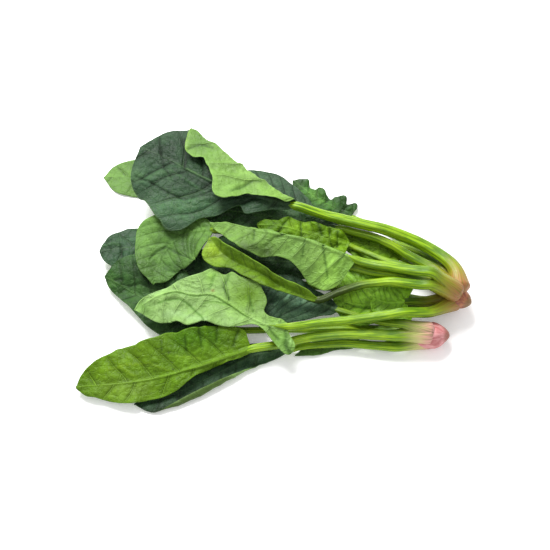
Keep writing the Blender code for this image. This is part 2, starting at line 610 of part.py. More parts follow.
def make_blade(leaf, sheet, bunch):
    """A grid shaped to the laid sheet, then thickened, with its rib thicker than the rest."""
    rows, columns = sheet.shape[0] - 1, sheet.shape[1] - 1
    mesh = bpy.data.meshes.new(f"{leaf.name}_blade")
    bm = bmesh.new()
    bmesh.ops.create_grid(bm, x_segments=columns, y_segments=rows, size=1.0)
    weights = bm.verts.layers.deform.verify()
    for vert in bm.verts:
        row = int(round((vert.co.y + 1.0) / 2.0 * rows))
        column = int(round((vert.co.x + 1.0) / 2.0 * columns))
        on_rib = column == columns // 2
        vert[weights][0] = (1.0 - row / rows) ** RIB_TAPER if on_rib else 0.0
        vert.co = sheet[row, column]
    bmesh.ops.triangulate(bm, faces=bm.faces, quad_method="FIXED")
    bmesh.ops.remove_doubles(bm, verts=bm.verts, dist=WELD)
    bmesh.ops.recalc_face_normals(bm, faces=bm.faces)
    bm.to_mesh(mesh)
    bm.free()
    blade = bpy.data.objects.new(f"{leaf.name}_blade", mesh)
    blade.vertex_groups.new(name="rib")
    bunch.objects.link(blade)
    solid = blade.modifiers.new("thickness", "SOLIDIFY")
    solid.thickness = RIB_THICK
    solid.offset = 0.0
    solid.vertex_group = "rib"
    solid.thickness_vertex_group = BLADE_THICK / RIB_THICK
    mesh.shade_smooth()
    mesh.materials.append(material(leaf.colour))
    return blade


def tube(name, points, radii, into):
    """A round stalk through the given points, with its own radius at each."""
    curve = bpy.data.curves.new(name, "CURVE")
    curve.dimensions = "3D"
    curve.bevel_depth = 1.0
    curve.bevel_resolution = STALK_SIDES // 2 - 2
    curve.use_fill_caps = True
    line = curve.splines.new("POLY")
    line.points.add(len(points) - 1)
    for knot, point, radius in zip(line.points, points, radii):
        knot.co = (*point, 1.0)
        knot.radius = radius
    made = bpy.data.objects.new(name, curve)
    into.objects.link(made)
    return made


def make_stalk(leaf, stalk, radii, split, bunch):
    """The stalk's own stretch, from the end of the crown's stub to the base of the blade."""
    made = tube(f"{leaf.name}_stalk", stalk[split:], radii[split:], bunch)
    made.data.materials.append(material("stalk_green"))
    return made


def solid_copy(source, into):
    """A closed mesh object made from a curve or a modified mesh, which it replaces."""
    graph = bpy.context.evaluated_depsgraph_get()
    mesh = bpy.data.meshes.new_from_object(source.evaluated_get(graph))
    bm = bmesh.new()
    bm.from_mesh(mesh)
    bmesh.ops.remove_doubles(bm, verts=bm.verts, dist=WELD)
    bmesh.ops.recalc_face_normals(bm, faces=bm.faces)
    bm.to_mesh(mesh)
    bm.free()
    made = bpy.data.objects.new(source.name + "_solid", mesh)
    made.matrix_world = source.matrix_world
    into.objects.link(made)
    bpy.data.objects.remove(source)
    return made


def make_crown(name, plant, stubs, bunch):
    """The crown: a knob that tapers to its cut root, with the feet of its stalks grown into it."""
    feet = collection(f"{name}_feet")
    for index, (points, radii) in enumerate(stubs):
        foot = tube(f"{name}_foot_{index}", points, radii, feet)
        bpy.context.view_layer.update()
        solid_copy(foot, feet)
    mesh = bpy.data.meshes.new(name)
    bm = bmesh.new()
    bmesh.ops.create_uvsphere(bm, u_segments=KNOB_SIDES, v_segments=KNOB_RINGS, radius=1.0)
    turn = math.radians(plant.root_turn)
    middle = np.array(plant.middle) * MM - np.array([*HEAP_CENTRE, 0.0])
    for vert in bm.verts:
        along = vert.co.x * plant.knob_length * MM * (1.0 if vert.co.x > 0.0 else NECK_STRETCH)
        pinch = 1.0 - ROOT_PINCH * max(vert.co.x, 0.0)
        across = vert.co.y * plant.knob_radius * MM * pinch
        up = vert.co.z * plant.knob_radius * MM * pinch
        vert.co.x = middle[0] + along * math.cos(turn) - across * math.sin(turn)
        vert.co.y = middle[1] + along * math.sin(turn) + across * math.cos(turn)
        vert.co.z = middle[2] + up
    bm.to_mesh(mesh)
    bm.free()
    knob = bpy.data.objects.new(name, mesh)
    bunch.objects.link(knob)
    join = knob.modifiers.new("feet", "BOOLEAN")
    join.operation = "UNION"
    join.operand_type = "COLLECTION"
    join.collection = feet
    join.solver = "EXACT"
    bpy.context.view_layer.update()
    joined = solid_copy(knob, bunch)
    joined.name = name
    for foot in list(feet.objects):
        bpy.data.objects.remove(foot)
    bpy.data.collections.remove(feet)
    cut_flat(joined)
    joined.data.materials.clear()
    joined.data.materials.append(material(plant.colour))
    return joined


def cut_flat(crown):
    """Flattens the underside of a crown where it lies on the surface."""
    bm = bmesh.new()
    bm.from_mesh(crown.data)
    geometry = bm.verts[:] + bm.edges[:] + bm.faces[:]
    cut = bmesh.ops.bisect_plane(bm, geom=geometry, plane_co=(0, 0, 0), plane_no=(0, 0, 1), clear_inner=True)
    edges = [e for e in cut["geom_cut"] if isinstance(e, bmesh.types.BMEdge)]
    if edges:
        bmesh.ops.edgeloop_fill(bm, edges=edges)
    bmesh.ops.recalc_face_normals(bm, faces=bm.faces)
    bm.to_mesh(crown.data)
    bm.free()


def main():
    for old in list(bpy.data.objects):
        bpy.data.objects.remove(old)
    bunch = collection("spinach_bunch")
    laid = lay_heap()
    stubs = {name: [] for name in PLANTS}
    for leaf, sheet, stalk, radii, split in laid.values():
        make_blade(leaf, sheet, bunch)
        make_stalk(leaf, stalk, radii, split, bunch)
        stubs[leaf.plant].append((stalk[:split], radii[:split]))
    for name, plant in PLANTS.items():
        make_crown(f"{name}_crown", plant, stubs[name], bunch)


main()
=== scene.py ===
"""The looks of the spinach bunch: veined, puckered leaves, ribbed stalks and two cut crowns.

The leaves are laid as in the solid model, from the bottom of the heap to the top. Each one is settled
on what already lies there, as a limp sheet would be, with its fine ruffles and puckers on it.
"""

import math
from dataclasses import dataclass

import bpy
import numpy as np
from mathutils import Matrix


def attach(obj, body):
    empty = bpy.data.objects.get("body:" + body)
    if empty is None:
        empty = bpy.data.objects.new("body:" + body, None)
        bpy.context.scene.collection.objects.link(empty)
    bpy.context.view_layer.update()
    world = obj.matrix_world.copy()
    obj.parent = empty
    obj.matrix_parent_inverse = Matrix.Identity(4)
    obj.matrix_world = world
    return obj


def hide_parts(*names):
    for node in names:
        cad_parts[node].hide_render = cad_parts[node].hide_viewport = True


bl_info = {
    "name": "Spinach Bunch",
    "version": (1, 0, 0),
    "blender": (4, 5, 0),
    "location": "3D View > Sidebar > Spinach",
    "description": "Builds a bunch of leaf spinach, lying on a pale surface",
    "category": "Object",
}

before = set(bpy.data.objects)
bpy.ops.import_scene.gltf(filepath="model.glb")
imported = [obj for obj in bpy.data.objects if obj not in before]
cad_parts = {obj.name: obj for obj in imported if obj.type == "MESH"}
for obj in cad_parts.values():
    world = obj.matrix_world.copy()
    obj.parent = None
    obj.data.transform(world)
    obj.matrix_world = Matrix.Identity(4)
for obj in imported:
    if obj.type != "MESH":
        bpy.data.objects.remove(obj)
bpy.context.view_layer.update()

MM = 0.001

# Blades: their thickness, the raised rib along the middle, and the waves of their margins.
RIB_THICK = 2.8 * MM
RIB_TAPER = 0.8
RIB_HALF = 2.4 * MM
RIB_NARROWING = 0.75
RUFFLE_REACH = 1.6
RUFFLE_SHIFT = 0.31
LOBE_SWEEP_FADE = 5
CLEAR_OF_STALK = 3.5 * MM

# Gaps between leaves, and under the lowest leaf.
BUTT_GAP = 0.5 * MM
LEAF_GAP = 0.45 * MM
FLOOR_GAP = 0.15 * MM
LEAST_HEIGHT = 0.05 * MM

# Stalks and crowns.
STALK_STEP = 11.0 * MM
STALK_END = 3.0 * MM
FEWEST_BENDS = 4
FOOT_BENDS = 5
BLADE_HOLDS_STALK = 22.0 * MM
CROWN_REACH = 26.0 * MM
CROWN_CLEAR = 22.5 * MM
FOOT_SWELL = 0.45
FOOT_LENGTH = 13.0 * MM
NECK_STRETCH = 1.7
ROOT_PINCH = 0.35

# The heap's map of heights, and how limply a leaf hangs between the things that hold it up.
HEAP_CENTRE = (1.3 * MM, 6.0 * MM)
HEAP_HALF = (180.0 * MM, 135.0 * MM)
CELL = 1.5 * MM
EMPTY = -1.0
DROOP = 0.010 * MM
DRAPE_PASSES = 260
DRAPE_START_CELLS = 9
DRAPE_ROUND_CELLS = 3
BEND_PASSES = 1500
SETTLE_ROUNDS = 5
SETTLED = 0.03 * MM

# How finely the leaves are worked out.
ROW_EASE = 0.04
ARC_STEPS = 90
KNOT_STEPS = 80
LOOK_AHEAD = 2.0 * MM
STEEPEST = 0.4
GIRTH_SAMPLES = 9
GIRTH_SHARE = 0.95
FINE_STEP = 0.85 * MM
RIB_CROWDING = 1.25
SLOPE_ROW = 8
RIB_RUN_ROWS = 7
STALK_RING_STEP = 1.6 * MM
STALK_SIDES = 28

# The stalks' finer shape: they swell more at the foot, and some are plumper than in the plain model.
MORE_SWELL = {"upper": 0.30, "lower": 0.55}
MORE_SWELL_REACH = 21.0 * MM
PLUMP = {"top": 1.22, "back": 1.3, "shaded": 1.35, "heart": 1.4, "heart_small": 1.7, "small_ruffled": 1.25,
         "middle_left": 1.15, "boat": 1.25}
CHANNEL_DEPTH = 0.22
CHANNEL_WIDTH = 0.42
RIDGE_HEIGHT = 0.055
RIDGE_COUNT = 7.0
UNEVEN_GIRTH = 0.04
UNEVEN_STEP = 14.0 * MM
FOOT_ROUNDING = 5.0 * MM
FAR_ROUNDING = 4.0 * MM
GROOVE_DEPTH = 0.07
GROOVE_TURNS = 2.5
LUMP_HEIGHT = 0.05
BALL_SEGMENTS = 96
BALL_RINGS = 64

# The stalk's run on under the blade: its radii in millimetres along that run, and how deep it is sunk in.
RUN_SHARES = (0.0, 0.3, 1.0)
RUN_RADII = (1.2, 0.55)
RUN_START = 0.9
RUN_SINK = 0.45

# How close two points may be before they are welded.
WELD_SHEET = 0.01 * MM
WELD_TUBE = 0.005 * MM

# How much brighter a vein is than its tissue, and how far a foot's colour reaches up its stalk.
VEIN_BRIGHT = 1.35
FOOT_COLOUR_REACH = {"upper": 34.0 * MM, "lower": 27.0 * MM}

# The stage.
FLOOR_SIZE = 6.0
KEY_PLACE = (-0.22, 0.50, 0.72)
KEY_SIZE = 0.50
AIM_HEIGHT = 10.0 * MM
SENSOR_WIDTH = 36.0

# Veins and relief: how the side veins run out from the rib, and how the tissue swells between them.
VEIN_LEAN = 0.50
VEIN_ARCH = 0.90
VEIN_WANDER = 0.016
VEIN_WANDER_STEP = 14.0 * MM
VEIN_UNEVEN = 0.30
VEIN_STAGGER = 0.45
SWELL_POWER = 0.7
PATCH_STEP = 9.0 * MM
BLISTER_STEPS = (9.0 * MM, 6.5 * MM)
BUCKLE_STEPS = (21.0 * MM, 24.0 * MM)
FRILLS = ((0.9, 6.5 * MM), (0.5, 3.2 * MM))
NICKS = ((0.018, 5.0 * MM), (0.03, 11.0 * MM))
CLEAR_OF_RIB = 5.0 * MM
SWELL_HEIGHT = 1.1
BLISTER_HEIGHT = 0.75
SWELL_SINK = 0.6
PATCH_RANGE = (0.7, 0.3)
CALM_BASE = 0.06
MOST_NICKS = 1.5

# Where each side of a blade draws its random values, so that its two sides differ.
VEIN_DRAWS = (3.5, 20.5)
FRILL_DRAWS = (3.3, 17.7)
NICK_DRAW_STEP = 9.0
BLISTER_DRAW_STEP = 31.0
SEED_STEP = 100

# The size of a table of random values, and a length too short to divide by.
NOISE_SIZE = 64
TINY = 1e-12


@dataclass
class Plant:
    """A crown: its middle, its knob's radius and length, and the way that its cut root points."""

    middle: tuple
    knob_radius: float
    knob_length: float
    root_turn: float


@dataclass
class Leaf:
    """One leaf. Plan points are millimetres from the middle of the heap, from the crown outwards.

    Its margins are given as (share of the blade's length, half width) on each side of the rib, and
    swept is how far its lobes sweep back. Slopes are degrees on the left and the right side, as seen
    from the base of the blade towards its tip. A fold is its side, its line as (share of the length,
    distance from the rib), its turn and its radius. A wave is its height, its count and its start.

    Loft is how high a stiff leaf holds its base and its tip, thick is its stalk's radius at the foot
    and at the blade, and exit is the height at which the stalk leaves its crown. Veins is the number
    of its side veins; pucker, buckle and frill are how strong its relief is. Easy turn is the length
    over which the blade's rows follow a bend, and rib run is how far the stalk runs on under it.
    """

    name: str
    plant: str
    slot: str
    upper: str
    under: str
    stalk: list
    blade: list
    left: list
    right: list
    swept: float = 0.0
    slope_base: tuple = (8.0, 8.0)
    slope_tip: tuple = (4.0, 4.0)
    fold: tuple = None
    wave: tuple = (1.5, 2.5, 0.0)
    loft: tuple = (0.0, 0.0)
    thick: tuple = (3.4, 1.9)
    exit: float = 12.0
    face_down: bool = False
    veins: float = 8.0
    pucker: float = 1.0
    buckle: float = 1.2
    frill: float = 1.0
    easy_turn: float = 2.0
    rib_run: float = 0.30


PLANTS = {
    "upper": Plant((130.0, -21.0, 14.0), 8.6, 9.5, -28.0),
    "lower": Plant((111.0, -48.0, 8.8), 9.6, 11.0, 2.0),
}

# From the bottom of the heap to the top.
LEAVES = [
    Leaf("under", "lower", "leaf_mid", "blade_mid", "back_fresh",
         [(86, -50), (74, -52)], [(60, -50), (42, -52), (28, -55), (14, -60)],
         [(0.15, 5), (0.4, 4), (0.7, 5)], [(0.2, 6), (0.5, 8), (0.8, 4)],
         wave=(1.2, 2.0, 0.4), thick=(2.7, 1.8), exit=4, pucker=0.5, buckle=0.4, frill=0.6),
    Leaf("back_ruffled", "upper", "leaf_mid", "blade_deep", "back_fresh",
         [(120, 5), (108, 22), (82, 43)], [(58, 55), (42, 64), (27, 75), (14, 89)],
         [(0.04, 10), (0.25, 12), (0.5, 11), (0.7, 10), (0.9, 5)],
         [(0.03, 9), (0.09, 13), (0.15, 7), (0.22, 13), (0.32, 10), (0.42, 6), (0.58, 9), (0.75, 5),
          (0.9, 8)],
         swept=0.6, wave=(2.4, 3.2, 0.9), slope_base=(25, 20), thick=(2.9, 1.8), exit=5, frill=2.2,
         pucker=1.4, veins=7),
    Leaf("far_tip", "upper", "leaf_pale", "blade_mid", "back_dull",
         [(113, 1), (100, 16), (57, 39)], [(8, 63), (-27, 76), (-58, 87), (-104, 93), (-132, 92)],
         [(0.12, 10), (0.44, 20), (0.78, 20), (0.93, 15)], [(0.17, 9), (0.5, 14), (0.85, 15), (0.95, 9)],
         wave=(1.2, 1.5, 0.5), thick=(3.5, 2.4), exit=6, face_down=True, pucker=0.5, buckle=0.8,
         frill=0.4),
    Leaf("left_tip", "upper", "leaf_dark", "blade_bluish", "back_fresh",
         [(102, -17), (76, -10), (18, -4), (-18, 0)], [(-40, 3), (-69, 13), (-99, 24), (-128, 20)],
         [(0.12, 12), (0.44, 15), (0.65, 19), (0.87, 17), (0.97, 9)],
         [(0.03, 12), (0.1, 17), (0.2, 16), (0.5, 14), (0.7, 16), (0.87, 13), (0.96, 6)],
         wave=(1.6, 2.0, 1.5), loft=(4, 10), thick=(3.4, 2.2), exit=5),
    Leaf("left_under", "lower", "leaf_mid", "blade_deep", "back_fresh",
         [(86, -42), (53, -41), (4, -40)], [(-35, -41), (-71, -31), (-97, -15), (-123, 0)],
         [(0.1, 12), (0.3, 18), (0.47, 17), (0.62, 14), (0.8, 9), (0.93, 5)],
         [(0.13, 18), (0.4, 31), (0.7, 33), (0.88, 25), (0.97, 14)],
         wave=(1.6, 2.2, 2.4), loft=(5, 5), thick=(3.4, 2.2), exit=6),
    Leaf("rolled", "lower", "leaf_dark", "blade_bluish", "back_pale",
         [(86, -56), (68, -55), (47, -53), (27, -54)],
         [(8, -57), (-14, -60), (-38, -73), (-65, -87), (-96, -97)],
         [(0.15, 8), (0.5, 14), (0.75, 15), (0.93, 8)], [(0.15, 8), (0.5, 15), (0.8, 12)],
         fold=("left", [(0.0, 6), (1.0, 9)], 150.0, 2.0), wave=(1.0, 2.0, 0.0), thick=(3.5, 2.2), exit=5,
         pucker=0.6, buckle=0.7, frill=0.4),
    Leaf("long", "lower", "leaf_bright", "blade_bright", "back_fresh",
         [(85, -51), (68, -50), (46, -49), (24, -51), (3, -56)],
         [(-16, -60), (-32, -65), (-64, -76), (-95, -83), (-136, -86)],
         [(0.08, 3), (0.2, 4), (0.34, 6), (0.45, 12), (0.56, 14), (0.7, 15), (0.85, 10), (0.95, 6)],
         [(0.01, 13), (0.06, 18), (0.16, 23), (0.32, 28), (0.45, 28), (0.6, 27), (0.78, 24), (0.9, 16),
          (0.97, 8)],
         slope_base=(-20, 20), slope_tip=(-8, 10), wave=(1.9, 3.2, 0.7), loft=(12, 6), thick=(3.9, 2.7),
         exit=12, veins=7, pucker=1.5, frill=1.2),
    Leaf("back", "upper", "leaf_dark", "blade_slate", "back_fresh",
         [(117, 6), (101, 20), (62, 34)], [(32, 49), (11, 60), (-10, 71), (-36, 80)],
         [(0.15, 7), (0.35, 12), (0.55, 16), (0.8, 15)],
         [(0.08, 5), (0.28, 13), (0.45, 17), (0.62, 20), (0.84, 14)],
         slope_base=(-12, -16), slope_tip=(-6, -8), wave=(1.4, 1.6, 1.0), loft=(18, 14), thick=(3.1, 2.0),
         exit=13, frill=1.4),
    Leaf("small_ruffled", "upper", "leaf_bright", "blade_bright", "back_fresh",
         [(109, -3), (101, 6)], [(91, 12), (76, 18), (62, 24), (49, 32)],
         [(0.05, 11), (0.3, 15), (0.65, 14), (0.87, 8)], [(0.08, 7), (0.46, 9), (0.83, 6)],
         swept=0.4, wave=(2.2, 3.0, 2.0), slope_base=(12, 12), loft=(14, 16), thick=(2.7, 1.7), exit=11,
         veins=6, pucker=1.4, frill=1.8),
    Leaf("heart", "upper", "leaf_bright", "blade_fresh", "back_fresh",
         [(104, -25), (95, -25)], [(84, -25), (70, -25), (57, -24), (41, -19)],
         [(0.1, 9), (0.3, 14), (0.55, 17), (0.8, 12)],
         [(0.03, 8), (0.1, 14), (0.3, 22), (0.6, 28), (0.85, 26), (0.95, 14)],
         swept=0.3, slope_base=(-14, 16), loft=(10, 10), wave=(1.3, 2.0, 0.2), thick=(2.9, 1.8), exit=9,
         veins=6),
    Leaf("heart_small", "upper", "leaf_bright", "blade_fresh", "back_fresh",
         [(112, -23), (104, -24)], [(94, -24), (87, -25), (78, -25), (67, -21)],
         [(0.06, 5), (0.14, 11), (0.25, 17), (0.5, 14), (0.8, 9)],
         [(0.02, 9), (0.1, 13), (0.3, 15), (0.7, 12), (0.9, 7)],
         swept=1.3, slope_base=(-12, 12), wave=(2.0, 3.0, 1.2), loft=(14, 12), thick=(2.7, 1.7), exit=13,
         veins=6, frill=1.4),
    Leaf("core", "upper", "leaf_dark", "blade_shade", "back_fresh",
         [(104, -11), (88, -9), (68, -1)], [(47, 7), (18, 9), (-14, 12), (-46, 15)],
         [(0.1, 10), (0.4, 17), (0.75, 18), (0.92, 16), (0.98, 10)],
         [(0.1, 13), (0.4, 20), (0.75, 22), (0.92, 20), (0.98, 16)],
         wave=(1.6, 2.0, 0.3), loft=(14, 8), thick=(3.1, 2.0), exit=12),
    Leaf("grey", "lower", "leaf_dark", "blade_slate", "back_fresh",
         [(86, -45), (75, -42), (61, -37)], [(44, -31), (26, -22), (8, -13), (-14, -10)],
         [(0.04, 5), (0.15, 9), (0.32, 18), (0.55, 26), (0.78, 26), (0.92, 18)],
         [(0.12, 6), (0.38, 8), (0.65, 9), (0.9, 6)],
         slope_base=(-14, 10), slope_tip=(-12, 6), wave=(1.0, 1.8, 0.6), loft=(14, 14), thick=(3.1, 2.0),
         exit=13, pucker=0.8),
    Leaf("shaded", "upper", "leaf_dark", "blade_shade", "back_fresh",
         [(111, 0), (99, 8), (75, 23)], [(47, 32), (18, 39), (-18, 48), (-59, 56)],
         [(0.08, 6), (0.25, 9), (0.6, 15), (0.87, 12)], [(0.12, 8), (0.3, 12), (0.65, 14), (0.92, 10)],
         wave=(2.2, 3.4, 0.8), slope_base=(16, 12), loft=(22, 14), thick=(3.2, 2.1), exit=19,
         pucker=1.5, frill=1.6),
    Leaf("crisp", "upper", "leaf_bright", "blade_bright", "back_fresh",
         [(107, -9), (88, -2), (69, 9)], [(54, 18), (32, 24), (11, 29), (-13, 35)],
         [(0.06, 11), (0.4, 13), (0.74, 11), (0.92, 6)], [(0.08, 6), (0.36, 9), (0.68, 8), (0.9, 5)],
         swept=0.4, wave=(2.4, 3.6, 1.1), slope_base=(22, 24), loft=(20, 22), thick=(2.9, 1.8), exit=18,
         veins=5, pucker=2.2, buckle=2.4, frill=2.6),
    Leaf("middle_left", "upper", "leaf_mid", "blade_mid", "back_fresh",
         [(102, -16), (84, -12), (64, -6), (18, 12), (-18, 24)],
         [(-44, 31), (-66, 29), (-82, 13), (-87, -9)],
         [(0.05, 10), (0.18, 19), (0.55, 23), (0.8, 17), (0.94, 9)],
         [(0.08, 9), (0.22, 18), (0.42, 25), (0.55, 27), (0.7, 20), (0.88, 11)],
         wave=(1.5, 2.0, 1.9), slope_base=(6, 10), loft=(22, 10), thick=(3.6, 2.5), exit=19, pucker=0.8,
         buckle=1.8),
    Leaf("pale", "upper", "leaf_pale", "blade_slate", "back_pale",
         [(107, -36), (90, -40), (61, -41), (31, -43)],
         [(9, -47), (-6, -45), (-19, -38), (-35, -26), (-44, -21), (-58, -21), (-70, -18), (-83, -22),
          (-98, -33)],
         [(0.02, 14), (0.06, 19), (0.1, 10), (0.15, 4), (0.21, 5), (0.26, 10), (0.33, 16), (0.54, 25),
          (0.64, 26), (0.8, 23), (0.9, 18), (0.96, 9)],
         [(0.04, 5), (0.13, 6), (0.19, 9), (0.22, 16), (0.28, 21), (0.35, 24), (0.42, 21), (0.46, 22),
          (0.49, 18), (0.52, 19), (0.55, 21), (0.6, 16), (0.67, 11), (0.74, 6), (0.85, 4), (0.95, 3)],
         swept=0.9, slope_base=(-10, 12), slope_tip=(-10, 6), wave=(1.7, 3.4, 0.4), loft=(20, 18),
         thick=(3.9, 2.7), exit=11, face_down=True, veins=7, pucker=1.3, buckle=1.8, frill=0.7,
         easy_turn=16.0),
    Leaf("boat", "upper", "leaf_bright", "blade_lime", "back_fresh",
         [(102, -22), (80, -19), (60, -17), (43, -21)],
         [(30, -26), (15, -21), (3, -15), (-10, -7), (-23, 1), (-36, 10), (-47, 22)],
         [(0.15, 3), (0.3, 6), (0.45, 9), (0.6, 8), (0.72, 7), (0.82, 13), (0.92, 13)],
         [(0.1, 8), (0.3, 9), (0.6, 10), (0.85, 9), (0.95, 6)],
         slope_base=(34, 72), slope_tip=(0, 66), wave=(1.0, 1.6, 0.5), loft=(20, 22), thick=(3.1, 2.0),
         exit=18, pucker=0.6, buckle=0.6, frill=0.7),
    Leaf("saddle", "upper", "leaf_pale", "blade_shade", "back_plain",
         [(106, -15), (88, -11), (72, -7)],
         [(57, -2), (44, 4), (26, 11), (4, 17), (-14, 23), (-30, 29), (-47, 33)],
         [(0.02, 10), (0.05, 21), (0.11, 26), (0.22, 26), (0.29, 22), (0.37, 18), (0.43, 15), (0.53, 15),
          (0.6, 19), (0.68, 19), (0.8, 15), (0.92, 8)],
         [(0.05, 3), (0.3, 4), (0.6, 4), (0.9, 3)],
         slope_base=(-12, -45), slope_tip=(-22, -45), wave=(1.6, 2.6, 0.9), loft=(30, 26),
         thick=(3.9, 2.7), exit=20, face_down=True, pucker=1.2, buckle=1.6, frill=1.4, rib_run=0.12),
    Leaf("top", "upper", "leaf_dark", "blade_slate", "back_fresh",
         [(128, -3), (120, 8), (103, 20), (56, 34)],
         [(15, 45), (-14, 55), (-44, 66), (-63, 77), (-80, 88), (-101, 99)],
         [(0.05, 5), (0.12, 7), (0.19, 13), (0.25, 17), (0.3, 12), (0.34, 15), (0.39, 22), (0.45, 27),
          (0.48, 31), (0.52, 44), (0.56, 48), (0.63, 45), (0.72, 40), (0.84, 37), (0.93, 30), (0.975, 17)],
         [(0.04, 12), (0.12, 18), (0.2, 26), (0.28, 37), (0.33, 47), (0.38, 56), (0.45, 61), (0.49, 52),
          (0.54, 49), (0.61, 46), (0.68, 51), (0.745, 52), (0.79, 43), (0.815, 31), (0.84, 28),
          (0.89, 24), (0.93, 18), (0.965, 10)],
         slope_base=(-8, 4), slope_tip=(-10, 2),
         fold=("right", [(0.0, 0.5), (0.14, 5), (0.25, 10), (0.35, 15.5), (0.45, 20), (0.6, 24.5),
                         (0.82, 29), (1.0, 32)], 171.0, 2.4),
         wave=(1.8, 2.4, 1.3), loft=(32, 30), thick=(3.9, 2.7), exit=20, veins=7, pucker=1.5, buckle=2.0,
         frill=0.8),
]


